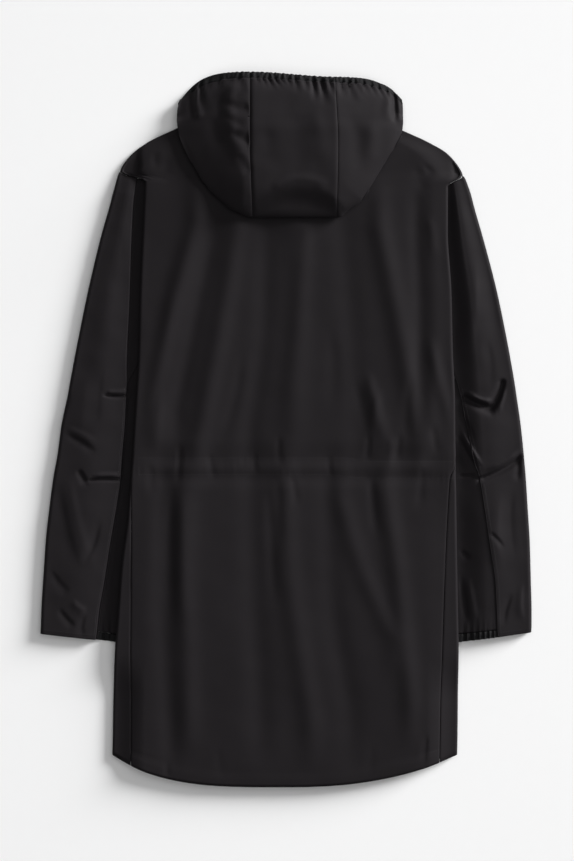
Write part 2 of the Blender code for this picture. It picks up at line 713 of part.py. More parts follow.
def side_lower(sign, row, back):
    """A side panel's lower face, from the outline to its inner edge."""
    word = "left" if sign < 0 else "right"
    seam = HOOD_COLUMNS["seam_" + word](row) + sign * SEAM_GAP / 2
    edge = HOOD_COLUMNS[word](row)
    neck = sign * side_of(sign).neck_side
    if abs(edge) < abs(neck) + NECK_ROOM:
        neck = (edge + seam) / 2
    end = seam if back else centre_front(HOOD_COLUMNS["y_edge"](row)) + sign * ZIP_EDGE
    xs = [edge + (neck - edge) * (i / HOOD_LOW) ** SPREAD for i in range(1, HOOD_LOW + 1)]
    near = neck - sign * min(NECK_STEP, abs(end - neck) / 4)
    last = end + sign * min(SELVEDGE, abs(end - near) / 4)
    xs += [near + (last - near) * i / HOOD_NECK for i in range(HOOD_NECK + 1)] + [end]
    return [hood_point(x, lower_y(sign, row, x, back), row, False, back) for x in xs]


def lower_y(sign, row, x, back):
    """Height along the jacket of a row on the hood's lower face."""
    word = "left" if sign < 0 else "right"
    edge = HOOD_COLUMNS[word](row)
    if row > NECK_ROW:
        seam = HOOD_COLUMNS["seam_" + word](row) + sign * SEAM_GAP / 2
        return row_y(row, (edge - x) / (edge - seam) if edge != seam else 0.0)
    neck = sign * side_of(sign).neck_side
    level = 1.0 if back else abs(neck) / (abs(neck) - NECK_STEP)
    at_neck = neck_line(x * level, back) + NECK_GAP
    if abs(x) > abs(neck):
        y_edge = HOOD_COLUMNS["y_edge"](NECK_ROW)
        outwards = (abs(x) - abs(neck)) / (abs(HOOD_COLUMNS[word](NECK_ROW)) - abs(neck))
        at_neck += (y_edge - at_neck) * min(outwards, 1.0)
    if row == NECK_ROW:
        return at_neck
    # Between the opening under the chin and the front of the neck.
    first = HOOD_COLUMNS["y_edge"](0)
    inwards = soft(1 - abs(x) / abs(edge))
    opening = first + (CHIN_Y - first) * inwards - (first - HOOD_COLUMNS["y_edge"](min(row, 1)))
    return opening + (at_neck - opening) * max(row - 1, 0) / (NECK_ROW - 1)


def hood_side(sign):
    """Grids of a side panel: its cheek as far as the neck, and the rest over the back."""
    cheek = [side_upper(sign, row, HOOD_UP) + side_lower(sign, row, False)
             for row in range(1, NECK_ROW + 1)]
    rest = [side_upper(sign, row, HOOD_UP) + side_lower(sign, row, True)
            for row in range(NECK_ROW, FOLD_END + 1)]
    return [cheek, rest]


def centre_row(row, upper, count):
    left = HOOD_COLUMNS["seam_left"](row) + SEAM_GAP / 2
    right = HOOD_COLUMNS["seam_right"](row) - SEAM_GAP / 2
    xs = [left + (right - left) * i / count for i in range(count + 1)]
    xs = [xs[0], xs[0] + SELVEDGE] + xs[1:-1] + [xs[-1] - SELVEDGE, xs[-1]]
    points = []
    for x in xs:
        y = HOOD_COLUMNS["y_seam"](row)
        if row == NECK_ROW and not upper:
            y = neck_line(x, True) + NECK_GAP
        elif upper:
            y -= droop(row, (x - left) / (right - left))
        points.append(hood_point(x, y, row, upper, True))
    return points


def hood_centre():
    """The centre panel, from the opening over the fold and back to the neck."""
    rows = [centre_row(row, True, HOOD_CENTRE) for row in range(1, FOLD_END + 1)]
    rows += [centre_row(row, False, HOOD_CENTRE) for row in range(FOLD_END - 1, NECK_ROW - 1, -1)]
    return [rows]


def opening_ring(row):
    """The line of a row all round the hood's opening, from the zip back to the zip."""
    left = side_upper(-1, row, HOOD_UP) + side_lower(-1, row, False)
    right = side_upper(1, row, HOOD_UP) + side_lower(1, row, False)
    return left[::-1] + centre_row(row, True, HOOD_CENTRE) + right


def opening_band():
    """The gathered elastic round the opening, as one strip."""
    outer = [Vector(point) for point in opening_ring(0)]
    inner = [Vector(point) for point in opening_ring(1)]
    inner = [b + (a - b) * BAND_GAP for a, b in zip(outer, inner)]
    rows = [[outer[0]], [inner[0]]]
    length = 0.0
    for i in range(1, len(outer)):
        span = (outer[i] - outer[i - 1]).length
        seen = outer[i].z > BAND_LOW and outer[i - 1].z > BAND_LOW
        steps = max(round(span / BAND_STEP), 1) if seen else 1
        for step in range(1, steps + 1):
            share = step / steps
            top = outer[i - 1].lerp(outer[i], share)
            if seen:
                wave = math.sin(2 * math.pi * (length + span * share) / BAND_WAVE)
                top.z += BAND_DEPTH * wave * soft((top.z - BAND_LOW) / BAND_FADE)
            rows[0].append(top)
            rows[1].append(inner[i - 1].lerp(inner[i], share))
        length += span
    return [rows]


# ---------------------------------------------------------------- zip
def zip_tape(side):
    """A tape behind the edge of a front, from the hem to the chin."""
    rows = []
    start = BODY[-1].y_mid + FRONT_HEM_DROP + 4
    for i in range(TAPE_ROWS + 1):
        y = start + (CHIN_Y - 8 - start) * i / TAPE_ROWS
        middle = centre_front(y)
        row = []
        for out in (TAPE_SLOT, ZIP_EDGE, TAPE_SLOT + TAPE_WIDTH):
            x = middle + side.sign * out
            row.append((x, y, zip_rise(middle + side.sign * max(out, ZIP_EDGE), y)
                        + WALL + SEAM_GAP))
        rows.append(row)
    return [rows]


def box(name, low, high, finish=METAL):
    """A block between two corners."""
    mesh = bmesh.new()
    bmesh.ops.create_cube(mesh, size=1.0)
    for vert in mesh.verts:
        for k in range(3):
            vert.co[k] = (low[k] + (high[k] - low[k]) * (vert.co[k] + 0.5)) * MM
    data = bpy.data.meshes.new(name)
    mesh.to_mesh(data)
    mesh.free()
    piece = bpy.data.objects.new(name, data)
    data.materials.append(material(finish))
    bpy.context.scene.collection.objects.link(piece)
    return piece


def combine(piece, tool, operation):
    """Joins a hidden tool to a piece, or cuts it away."""
    tool.hide_render = True
    tool.display_type = "WIRE"
    step = piece.modifiers.new(tool.name, "BOOLEAN")
    step.operation = operation
    step.solver = "EXACT"
    step.object = tool


def zip_slider():
    """Two plates on a post, with a bail under the lower one that holds the pull."""
    x = centre_front(SLIDER_Y)
    half = SLIDER_WIDTH / 2
    y1 = SLIDER_Y - SLIDER_LENGTH / 2
    y2 = SLIDER_Y + SLIDER_LENGTH / 2
    slider = box("zip_slider", (x - half, y1, SLIDER_LOW), (x + half, y2, SLIDER_LOW + PLATE))
    post = box("slider_post", (x - POST / 2, y1, SLIDER_LOW + PLATE / 2),
               (x + POST / 2, y2, SLIDER_HIGH - PLATE / 2))
    top = box("slider_top", (x - half, y1, SLIDER_HIGH - PLATE), (x + half, y2, SLIDER_HIGH))
    bail = box("slider_bail", (x - BAIL_WIDTH / 2, PIVOT_Y - BAIL_REACH, BAIL_LOW),
               (x + BAIL_WIDTH / 2, PIVOT_Y + BAIL_REACH, SLIDER_LOW + PLATE / 2))
    inside = BAIL_REACH - BAIL_WIRE
    eye = box("slider_eye", (x - BAIL_WIDTH, PIVOT_Y - inside, BAIL_LOW + BAIL_WIRE * 0.75),
              (x + BAIL_WIDTH, PIVOT_Y + inside, SLIDER_LOW))
    for tool in (post, top, bail):
        combine(slider, tool, "UNION")
    combine(slider, eye, "DIFFERENCE")
    return slider


def zip_pull():
    """The pull, with its origin on the bar that swings in the slider's bail."""
    bar = PULL_THICK / 2
    pull = box("zip_pull", (-PULL_WIDTH / 2, -PULL_LENGTH, -bar), (PULL_WIDTH / 2, bar, bar))
    width, length = PULL_EYE
    eye = box("pull_eye", (-width / 2, -bar - length, -2), (width / 2, -bar, 2))
    place = Vector((centre_front(SLIDER_Y), PIVOT_Y, PIVOT_Z)) * MM
    pull.location = place
    eye.location = place
    combine(pull, eye, "DIFFERENCE")
    return pull


# ---------------------------------------------------------------- building
def material(finish):
    found = bpy.data.materials.get(finish.name)
    if found:
        return found
    made = bpy.data.materials.new(finish.name)
    made.use_nodes = True
    shader = made.node_tree.nodes["Principled BSDF"]
    shader.inputs["Base Color"].default_value = (*finish.colour, 1)
    shader.inputs["Roughness"].default_value = finish.roughness
    shader.inputs["Metallic"].default_value = finish.metallic
    return made


def fill(mesh, rows):
    """Adds a grid of quads through rows of points in millimetres."""
    made = [[mesh.verts.new(Vector(point) * MM) for point in row] for row in rows]
    for upper, lower in zip(made, made[1:]):
        for i in range(len(upper) - 1):
            mesh.faces.new((upper[i], lower[i], lower[i + 1], upper[i + 1]))


def cloth(name, grids, outwards, thickness=WALL, finish=SOFTSHELL):
    """A wall of cloth whose outer face is a grid, or grids joined where they meet."""
    mesh = bmesh.new()
    for rows in grids:
        fill(mesh, rows)
    bmesh.ops.remove_doubles(mesh, verts=mesh.verts[:], dist=1e-6)
    bmesh.ops.recalc_face_normals(mesh, faces=mesh.faces[:])
    mesh.faces.ensure_lookup_table()
    probe = max(mesh.faces, key=lambda face: face.calc_center_median().dot(outwards))
    if probe.normal.dot(outwards) < 0:
        bmesh.ops.reverse_faces(mesh, faces=mesh.faces[:])
    data = bpy.data.meshes.new(name)
    mesh.to_mesh(data)
    mesh.free()
    data.shade_smooth()
    piece = bpy.data.objects.new(name, data)
    piece.data.materials.append(material(finish))
    bpy.context.scene.collection.objects.link(piece)
    wall = piece.modifiers.new("wall", "SOLIDIFY")
    wall.thickness = thickness * MM
    wall.offset = -1.0
    wall.use_even_offset = False
    return piece


def main():
    for old in list(bpy.data.objects):
        bpy.data.objects.remove(old)
    up = Vector((0, 0, 1))
    cloth("back", [[back_row(row) for row in BODY_ROWS]], up)
    for side, arm, word in ((LEFT, ARM_LEFT, "left"), (RIGHT, ARM_RIGHT, "right")):
        cloth("front_" + word, [[front_row(side, row) for row in BODY_ROWS]], -up)
        cloth("sleeve_upper_" + word, sleeve_upper(arm), up)
        cloth("sleeve_under_" + word, sleeve_under(arm), -up)
        cloth("cuff_elastic_" + word, cuff_band(arm), -up, ELASTIC_THICK, ELASTIC)
        cloth("hood_side_" + word, hood_side(side.sign), up)
        cloth("zip_tape_" + word, zip_tape(side), -up, TAPE_THICK, TAPE)
    cloth("hood_centre", hood_centre(), up)
    cloth("hood_elastic", opening_band(), up, ELASTIC_THICK, ELASTIC)
    zip_slider()
    zip_pull()


main()
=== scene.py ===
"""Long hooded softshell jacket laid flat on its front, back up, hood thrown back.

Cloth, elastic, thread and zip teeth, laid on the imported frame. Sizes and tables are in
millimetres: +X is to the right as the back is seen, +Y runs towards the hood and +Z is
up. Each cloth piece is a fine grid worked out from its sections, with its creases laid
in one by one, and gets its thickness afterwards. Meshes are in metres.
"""
import math
from collections import namedtuple

import bmesh
import bpy
import numpy as np
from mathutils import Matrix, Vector

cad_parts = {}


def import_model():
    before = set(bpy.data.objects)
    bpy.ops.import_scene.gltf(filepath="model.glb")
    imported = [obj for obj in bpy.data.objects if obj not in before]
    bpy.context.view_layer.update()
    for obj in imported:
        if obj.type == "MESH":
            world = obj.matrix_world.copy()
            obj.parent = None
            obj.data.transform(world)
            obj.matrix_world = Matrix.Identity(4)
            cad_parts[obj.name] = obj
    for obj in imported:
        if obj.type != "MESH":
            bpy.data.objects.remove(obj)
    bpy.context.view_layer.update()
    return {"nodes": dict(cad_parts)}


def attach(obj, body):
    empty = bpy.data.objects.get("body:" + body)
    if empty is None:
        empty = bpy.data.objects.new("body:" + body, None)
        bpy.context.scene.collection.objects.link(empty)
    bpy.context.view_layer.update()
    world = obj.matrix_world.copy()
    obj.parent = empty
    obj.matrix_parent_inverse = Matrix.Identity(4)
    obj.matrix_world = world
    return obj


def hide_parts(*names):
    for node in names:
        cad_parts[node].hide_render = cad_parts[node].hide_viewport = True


MM = 0.001

# ---------------------------------------------------------------- sizes
CLOTH = 1.1             # thickness of the shells, the elastic and the zip's tapes
ELASTIC = 0.9
TAPE = 1.0
SEAM_GAP = 0.3
SIDE_GAP = 0.7          # at the side seams
SEAM_DEPTH = 0.36       # depth of a seam's groove, and how far it reaches
SEAM_REACH = 1.3
FOLD_RADIUS = 3.5       # outer radius of the body's folded edges
QUARTER = FOLD_RADIUS * math.pi / 2
LAID_SLEEVE = 5.2       # height of the sleeve where the body lies on it
LIFT = 7.2              # underside of the body where it lies on the sleeve
RAMP = 12.0             # width of the slope by which the fronts rise to it
RAMP_CLEAR = 2.5
CUFF_RADIUS = 5.0       # of a sleeve's rounded outer edge
HOOD_RADIUS = 17.0
HOOD_SEAT = 0.9         # between the hood and the back
ZIP_EDGE = 4.5          # from the centre front to a front's edge
ZIP_RISE = 2.2
TAPE_Z = 1.6 + SEAM_GAP     # from the front's outer face to the tape behind it
TAPE_WIDTH = 12.0
TAPE_SLOT = 0.7


def table(kind, *rows):
    return [kind(*row) for row in rows]


Level = namedtuple(
    "Level", "name y_left fold_left seam_left y_mid y_right fold_right seam_right rise")
BODY = table(
    Level,
    ("neck point", 441, 110, -8, 424, 438, 122, -8, 8),
    ("collar", 425, 142, -8, 412, 423, 150, -8, 9),
    ("shoulder", 400, 194, -9, 396, 400, 200, -9, 11),
    ("shoulder point", 383, 216, -9, 381, 383, 227, -9, 12),
    ("notch", 360, 231, -7, 361, 354.5, 246, -7, 12),
    ("fold start", 345, 196, -7, 346, 339, 225, -7, 13),
    ("shoulder blade", 320, 197, -14, 322, 316, 225, -14, 14),
    ("upper back", 271, 199.5, -26, 271, 271, 225, -26, 14),
    ("chest", 192, 203, -36, 192, 192, 230, -36, 14),
    ("underarm", 108, 205, -42, 108, 108, 232, -42, 14),
    ("midriff", 42, 209, -28, 42, 42, 235, -26, 14),
    ("above waist", -14, 212.5, -14, -14, -14, 235.5, -10, 14),
    ("upper stitching", -40, 214, -6, -40, -40, 236, 0, 12.4),
    ("channel", -53, 215, -3, -53, -53, 236, 4, 13.4),
    ("lower stitching", -66, 216, 0, -66, -66, 236, 10, 12.4),
    ("below waist", -82, 217, 3, -82, -82, 236.5, 12, 14),
    ("hip", -125, 220.5, 7.5, -126, -125, 237, 15, 15),
    ("seat", -190, 229, 16, -193, -190, 238, 19, 16),
    ("thigh", -250, 233.5, 20, -257, -250, 239, 22, 16),
    ("below cuff", -310, 238, 24, -322, -310, 240, 25, 16),
    ("skirt", -375, 240.5, 27, -397, -375, 239.5, 26.5, 15),
    ("above hem", -430, 241.5, 28, -467, -430, 239, 27, 14.5),
    ("hem", -452, 242, 28, -496, -452, 238.5, 27, 13.5),
)
NOTCH_ROW, FOLD_ROW, UNDERARM_ROW, WAIST_ROW, HEM_ROW = 4, 5, 9, 14, 22
NECK_BOW = 2.5          # powers of the curves in the neck seams
FRONT_NECK_BOW = 1.6
FRONT_HEM_DROP = 20.0
FRONT_NECK_Y = 389.0
NECK_STEP = 6.0         # width of the step from the neck down to the surface
CENTRE_TOP = 5.0        # how far right the centre front ends at the chin
CHIN_Y = 455.0

Fold = namedtuple("Fold", "name x1 y1 x2 y2 x3 y3 width height")
FOLDS = table(
    Fold,
    ("left armhole", -124, 290, -160, 160, -192, 40, 14, 8.5),
    ("left blade", -68, 280, -88, 160, -122, -20, 15, 6.5),
    ("centre", 14, 280, 19, 160, 8, -20, 18, 3.5),
    ("right blade", 130, 280, 154, 160, 186, -10, 15, 7),
    ("right armhole", 208, 290, 212, 160, 205, 40, 11, 4),
    ("left trough", -102, 270, -125, 160, -152, 30, 12, -4),
    ("left middle trough", -28, 270, -30, 160, -50, 0, 14, -3.5),
    ("right middle trough", 80, 270, 90, 160, 100, 0, 16, -3),
    ("right trough", 182, 280, 186, 160, 184, 30, 11, -4),
    ("skirt left", -138, -85, -140, -200, -136, -380, 15, 5),
    ("skirt left trough", -170, -90, -170, -220, -160, -420, 14, -4),
    ("skirt centre", -4, -85, 4, -200, 34, -400, 16, 5),
    ("skirt centre trough", -48, -85, -45, -200, -35, -400, 17, -4),
    ("skirt inner right", 74, -95, 104, -190, 148, -290, 14, 3.8),
    ("skirt right", 138, -85, 154, -200, 172, -370, 14, 6),
    ("skirt right trough", 60, -85, 62, -200, 90, -400, 16, -3.5),
)
FOLD_FADE = 90.0
FOLD_SHARE = 0.5        # of their height in the table, for the worn-in cloth

# Rows of a sleeve, slanted from y_in at the body's edge to y_out at the outer edge. tuck
# is how far the sleeve runs under the body, seam is where its visible seam lies.
Girth = namedtuple("Girth", "name crest tuck y_in_left y_out_left outer_left seam_left "
                            "y_in_right y_out_right outer_right seam_right")
SLEEVES = table(
    Girth,
    ("armhole", 7.2, 8, 344.4, 359.4, 231.3, 198, 338.4, 353.9, 246.3, 227),
    ("cap", 10.5, 10, 328, 337, 239, 198.5, 324, 333, 256, 226.5),
    ("upper cap", 14.5, 15, 307, 312, 245.5, 199, 302, 307, 263, 226.5),
    ("lower cap", 17, 23, 271, 272, 257, 201, 268, 269, 274, 226.5),
    ("bicep", 18, 34, 192, 192, 276, 204.5, 192, 192, 294, 231.5),
    ("underarm", 17, 40, 108, 108, 293, 203, 108, 108, 311, 226),
    ("above elbow", 16, 39, 65, 65, 301, 220, 65, 65, 318.5, 239),
    ("elbow tuck", 14.5, 38.5, 48, 48, 304, 221, 48, 48, 321, 243),
    ("elbow", 17, 37, 5, 8, 312.5, 223, 5, 6, 327, 252),
    ("lower elbow", 16, 34, -40, -36, 318.5, 227, -40, -38, 331.5, 261),
    ("second tuck", 13.5, 32, -69, -66, 324, 229, -69, -67, 334, 269.5),
    ("forearm", 17, 29, -110, -104, 329, 235, -110, -107, 336.5, 276),
    ("lower forearm", 17, 25, -160, -153, 334.5, 243.5, -160, -156, 339.5, 283),
    ("wrist", 15, 21, -215, -206, 338, 252, -215, -210, 341, 291),
    ("cuff seam", 13.5, 18, -255, -246, 340.5, 259, -255, -250, 342, 293),
    ("cuff", 12.5, 16, -284, -273, 341.5, 262, -284, -272, 342, 294),
    ("cuff end", 12, 15, -295, -283.5, 342, 263.5, -295.5, -281.5, 341.5, 295),
)
UNDER_ROW = 5           # where the under sleeve starts
CUFF_ROW = 15
CUFF_END = 16
FRONT_SEAM = 0.45       # share of the way out at which the hidden front seam lies

Hood = namedtuple("Hood", "name y_seam y_edge left seam_left seam_right right rise")
HOOD = table(
    Hood,
    ("opening", 496, 459, -147, -50, 68, 161, 23),
    ("band", 487.5, 454, -149, -50, 68.5, 162, 25),
    ("gathers", 470, 444, -151, -50, 69, 162.5, 31),
    ("brow", 450, 436, -151.5, -50, 70, 162.6, 35),
    ("neck", 431, 429, -151.5, -50, 71, 162.6, 38),
    ("crown", 412, 412, -149, -50, 72, 161, 40),
    ("upper back", 388, 388, -140, -50, 72.3, 148.5, 40),
    ("back", 362, 362, -125.5, -49, 72, 132, 40),
    ("lower back", 338, 338, -110, -48, 71.5, 118, 39),
    ("turn", 318, 318, -90.5, -47, 71, 105, 38),
    ("lower turn", 307, 304, -73.5, -46.5, 71, 86, 38),
    ("bottom", 302.5, 298, -61, -46.2, 70.9, 79, 38),
    ("fold top", 299, 295.6, -55, -46.2, 70.9, 76.5, 38),
    ("fold side", 296.3, 294.6, -51.5, -46.2, 70.9, 74, 38),
    ("fold edge", 294.9, 294.4, -49, -46.2, 70.9, 72.5, 38),
    ("fold", 294.4, 294.4, -46.35, -46.2, 70.9, 71.05, 38),
)
NECK_ROW = 4
FOLD_END = 15
CORNER_BOW = 4.0
NECK_GAP = 0.5
RIGHT_DROP = 7.0        # how much lower the opening lies on the right

# Creases as they lie: a soft trough through three points, or a ridge where the height
# is positive, with its half width. keen says how fast it ends.
Crease = namedtuple("Crease", "x1 y1 x2 y2 x3 y3 width height keen", defaults=(1,))
BACK_CREASES = table(
    Crease,
    (-181, 388, -182, 376, -179, 362, 4, -1.3), (-163, 378, -166, 362, -168, 340, 7, -0.9),
    (192, 368, 199, 361, 206, 352, 4, -1.1), (178, 366, 186, 350, 192, 326, 7, -0.8),
    (196, 300, 203, 270, 204, 235, 6, 1), (-147, -16, -148, -44, -151, -80, 3.2, -1.5),
    (-157, -62, -161, -170, -158, -300, 8, -1.6), (-142, -66, -144, -170, -141, -300, 8, 0.9),
    (115, -2, 114, -25, 111, -46, 3.5, -1.2), (119, -60, 121, -100, 128, -160, 6, -1.4),
    (158, -2, 156, -24, 152, -44, 3.2, -1), (144, -4, 145, -30, 140, -60, 5, 0.9),
    (203, 10, 206, -12, 210, -38, 4, -1), (-8, -6, -10, -28, -6, -58, 4, -1.1),
    (-12, -62, -10, -110, -12, -190, 8, -1.3), (6, -58, 12, -82, 14, -110, 4, -0.8),
    (-42, -28, -44, -46, -40, -64, 3.2, -0.9), (62, -34, 60, -50, 66, -70, 3.2, -0.8),
    (-106, -30, -104, -50, -100, -72, 3.4, -0.8), (-190, -46, -188, -64, -186, -100, 5, -0.8),
    (190, -50, 188, -74, 184, -118, 5, -1), (-164, -462, -165, -472, -166, -484, 3.2, -0.9),
    (195, -418, 193, -444, 190, -470, 4, -1), (120, -430, 118, -460, 112, -486, 6, -0.4),
    (-96, -436, -92, -464, -90, -488, 6, -0.35), (-60, 120, -72, 40, -96, -30, 8, -1),
    (60, 150, 66, 80, 60, 10, 10, -0.9), (132, 60, 122, 20, 118, -30, 7, 1.2),
    (-170, 60, -178, 10, -180, -40, 8, 1.1), (176, 80, 168, 30, 172, -30, 7, -1.2),
    (112, 86, 124, 34, 142, -34, 8, 1.7), (96, 76, 108, 24, 124, -34, 8, -1.1),
    (198, 140, 212, 70, 232, -4, 8, 1.7), (-24, -66, -20, -160, -14, -260, 7, -1.1),
    (28, 290, 22, 200, 0, 0, 12, 1.2, 2),
)
LEFT_SLEEVE_CREASES = table(
    Crease,
    (-256, 51, -238, 47, -214, 49, 2.2, -3, 2), (-250, 55, -238, 53, -218, 56, 3.4, 1.7),
    (-278, -71, -252, -68, -222, -70, 2.2, -3.6, 2),
    (-272, -64, -250, -62, -226, -63, 3.8, 2.2), (-290, -54, -283, -64, -275, -80, 5.1, -2.3),
    (-309, -5, -285, -16, -262, -34, 5.7, -1.6), (-308, 4, -284, -6, -260, -22, 6.9, 0.99),
    (-302, -52, -290, -130, -262, -206, 14, 1.1),
    (-316, -70, -305, -140, -286, -200, 11, -0.81), (-277, 84, -283, 30, -288, -24, 18, 0.87),
    (-256, 92, -262, 40, -266, 0, 11, -0.74), (-300, 60, -306, 34, -318, 16, 9.5, -0.68),
    (-262, 262, -250, 190, -262, 120, 19, 0.37), (-238, 300, -228, 220, -236, 130, 15, -0.37),
    (-318, -246, -305, -262, -292, -276, 5.7, -1.4),
    (-298, -234, -288, -246, -276, -252, 6.9, 1.2),
    (-330, -190, -314, -214, -300, -226, 6.9, -0.99),
    (-258, -120, -268, -160, -284, -186, 6.9, -1.1),
    (-276, -256, -284, -272, -280, -292, 5.7, -0.87),
)
RIGHT_SLEEVE_CREASES = table(
    Crease,
    (244, 50, 268, 36, 292, 30, 6.2, -6.4, 2), (250, 55, 270, 43, 290, 41, 4.2, 2.2),
    (303, 72, 297, 50, 285, 27, 5.6, -5.2, 2), (306, 60, 300, 40, 294, 22, 4.2, 1.7),
    (262, -70, 300, -55, 331, -33, 5, -5, 2), (272, -58, 302, -43, 328, -26, 4.7, 2.2),
    (322, -38, 324, -54, 320, -74, 5.2, -1.6), (238, -65, 252, -63, 270, -66, 2, -2.6),
    (236, -2, 250, -28, 268, -60, 3.4, -2.9), (244, 2, 258, -26, 274, -52, 4.2, 2.3),
    (240, 30, 252, 8, 262, -20, 5.2, -1.4), (281, -142, 292, -150, 304, -166, 4.2, -1.4),
    (240, -165, 248, -172, 258, -181, 4.2, -1.5), (243, -196, 248, -236, 255, -276, 4.5, -2.2),
    (253, -200, 259, -236, 265, -270, 5.9, 1.3), (300, -84, 292, -140, 300, -210, 14, 1.1),
    (316, -80, 312, -130, 318, -190, 11, -0.95), (276, 130, 284, 90, 280, 54, 11, -0.88),
    (262, 240, 262, 170, 256, 110, 12, 0.95), (282, 250, 286, 180, 296, 110, 15, -0.82),
    (316, -226, 306, -248, 302, -276, 6.4, -1.2), (330, -210, 326, -240, 330, -268, 6.4, 0.95),
)
HOOD_CREASES = table(
    Crease,
    (-22, 330, 16, 346, 60, 334, 6, 1.5, 2), (-68, 486, -77, 436, -54, 352, 9, 3.4, 2),
    (-86, 456, -68, 444, -50, 446, 6.5, -2.6, 2), (-74, 412, -62, 402, -50, 400, 6.5, -3, 2),
    (-82, 434, -70, 424, -58, 420, 5, -1.6, 2), (-66, 380, -58, 366, -50, 352, 5.5, -1.8, 2),
    (-84, 470, -92, 446, -86, 424, 7, -2), (-100, 440, -98, 410, -84, 384, 9, -1.8),
    (-122, 480, -123, 456, -119, 428, 4.5, 3.4, 2),
    (-129, 480, -131, 458, -127, 430, 4.5, -2.4, 2),
    (151, 482, 152.5, 456, 150, 424, 3.2, -2.6, 2), (143, 478, 142, 452, 138, 424, 6, 1.6),
    (84, 440, 98, 400, 96, 356, 12, -1.6), (112, 430, 118, 396, 108, 352, 12, 1.6),
    (-30, 420, -24, 390, -28, 356, 12, -1.2), (34, 446, 48, 404, 42, 362, 12, 1.4),
    (6, 440, 14, 408, 4, 366, 14, -1),
)

# Gathers under the hood's elastic: where each starts, how it leans and how deep it is.
Gather = namedtuple("Gather", "x lean length width depth")
GATHERS = table(
    Gather,
    (-128, 2, 30, 3.2, 1.4), (-119, 0, 52, 4.2, 2.6), (-108, -3, 22, 3, 1),
    (-92, -4, 26, 3.4, 1.4), (-77, 3, 20, 3, 1), (-64, 4, 30, 3.6, 1.6),
    (-41, 6, 16, 2.6, 1.1), (-33, 8, 20, 2.6, 1.6), (-25, 9, 22, 2.8, 1.9),
    (-16, 10, 19, 2.8, 1.7), (-8, 10, 16, 2.4, 1.3), (2, 6, 18, 3, 1.2), (13, 3, 24, 3.2, 1.5),
    (27, 2, 20, 3, 1.3), (38, 3, 36, 3.6, 3), (49, 4, 40, 4.4, 3.2), (61, 2, 26, 3, 1.8),
    (76, 6, 30, 3.4, 2.4), (86, 8, 34, 3.6, 2.6), (96, 7, 24, 3, 1.7), (107, 8, 20, 2.8, 1.5),
    (117, 9, 20, 2.8, 1.6), (128, 8, 18, 2.6, 1.4), (139, 6, 18, 2.6, 1.2),
    (150, -1, 46, 4, 2.6),
)


# ---------------------------------------------------------------- curves
def soft(t):
    """Smooth step from 0 to 1."""
    t = unit(t)
    return t * t * (3 - 2 * t)


def mix(a, b, share):
    return a + (b - a) * share


def bell(distance, width):
    return np.exp(-(distance / width) ** 2)


def unit(t):
    """Held between 0 and 1."""
    return np.clip(t, 0, 1)


def stacked(x, y, z):
    return np.stack(np.broadcast_arrays(x, y, z), axis=-1)


def joined(*parts):
    """Columns of points side by side."""
    return np.concatenate(parts, axis=1)


def shares(count, skip=0):
    """Even shares from 0 to 1 in one row, with the first ones left out where asked."""
    return np.linspace(0, 1, count)[None, skip:]


def curve(places, values):
    """Smooth curve through points in rising or falling order, with no overshoot."""
    order = np.argsort(places)
    xs = np.array(places, float)[order]
    ys = np.array(values, float)[order]
    steps = np.diff(xs)
    slopes = np.diff(ys) / steps
    ends = [slopes[0]]
    for a, b in zip(slopes, slopes[1:]):
        ends.append(2 * a * b / (a + b) if a * b > 0 else 0.0)
    ends = np.array(ends + [slopes[-1]])

    def read(x):
        x = np.clip(x, xs[0], xs[-1])
        i = np.clip(np.searchsorted(xs, x, side="right") - 1, 0, len(steps) - 1)
        h = steps[i]
        t = (x - xs[i]) / h
        return (ys[i] * (1 + 2 * t) * (1 - t) ** 2 + ends[i] * h * t * (1 - t) ** 2
                + ys[i + 1] * t * t * (3 - 2 * t) + ends[i + 1] * h * t * t * (t - 1))
    return read


def column(rows, name, by=None):
    """A table's column as a curve over its rows, or over another column."""
    places = [getattr(row, by) for row in rows] if by else list(range(len(rows)))
    return curve(places, [getattr(row, name) for row in rows])


def spaced(rows, name, step):
    """Row numbers whose places along a column lie about a step apart."""
    numbers = [0.0]
    for i in range(len(rows) - 1):
        gap = abs(getattr(rows[i + 1], name) - getattr(rows[i], name))
        count = max(round(gap / step), 1)
        numbers += [i + k / count for k in range(1, count + 1)]
    return np.array(numbers)


def rows_between(rows, name, start, end, step):
    numbers = spaced(rows, name, step)
    numbers = numbers[(numbers > start + 0.02) & (numbers < end - 0.02)]
    return np.concatenate([[start], numbers, [end]])[:, None]


def uneven(x, y, size, turn=0.0):
    """A soft irregular swell between -1 and 1, about size across."""
    total = 0.0
    for k in range(5):
        angle = turn + 2.4 * k
        pace = 2 * math.pi / (size * (1 + 0.27 * k))
        along = x * math.cos(angle) + y * math.sin(angle)
        total = total + np.sin(pace * along + 1.7 * k + turn)
    return total / 5


def to_segment(x, y, x1, y1, x2, y2):
    """Distance to a segment, and the share of the way along it."""
    dx, dy = x2 - x1, y2 - y1
    share = unit(((x - x1) * dx + (y - y1) * dy) / (dx * dx + dy * dy))
    return np.hypot(x - x1 - share * dx, y - y1 - share * dy), share


CREASE_STEPS = 14


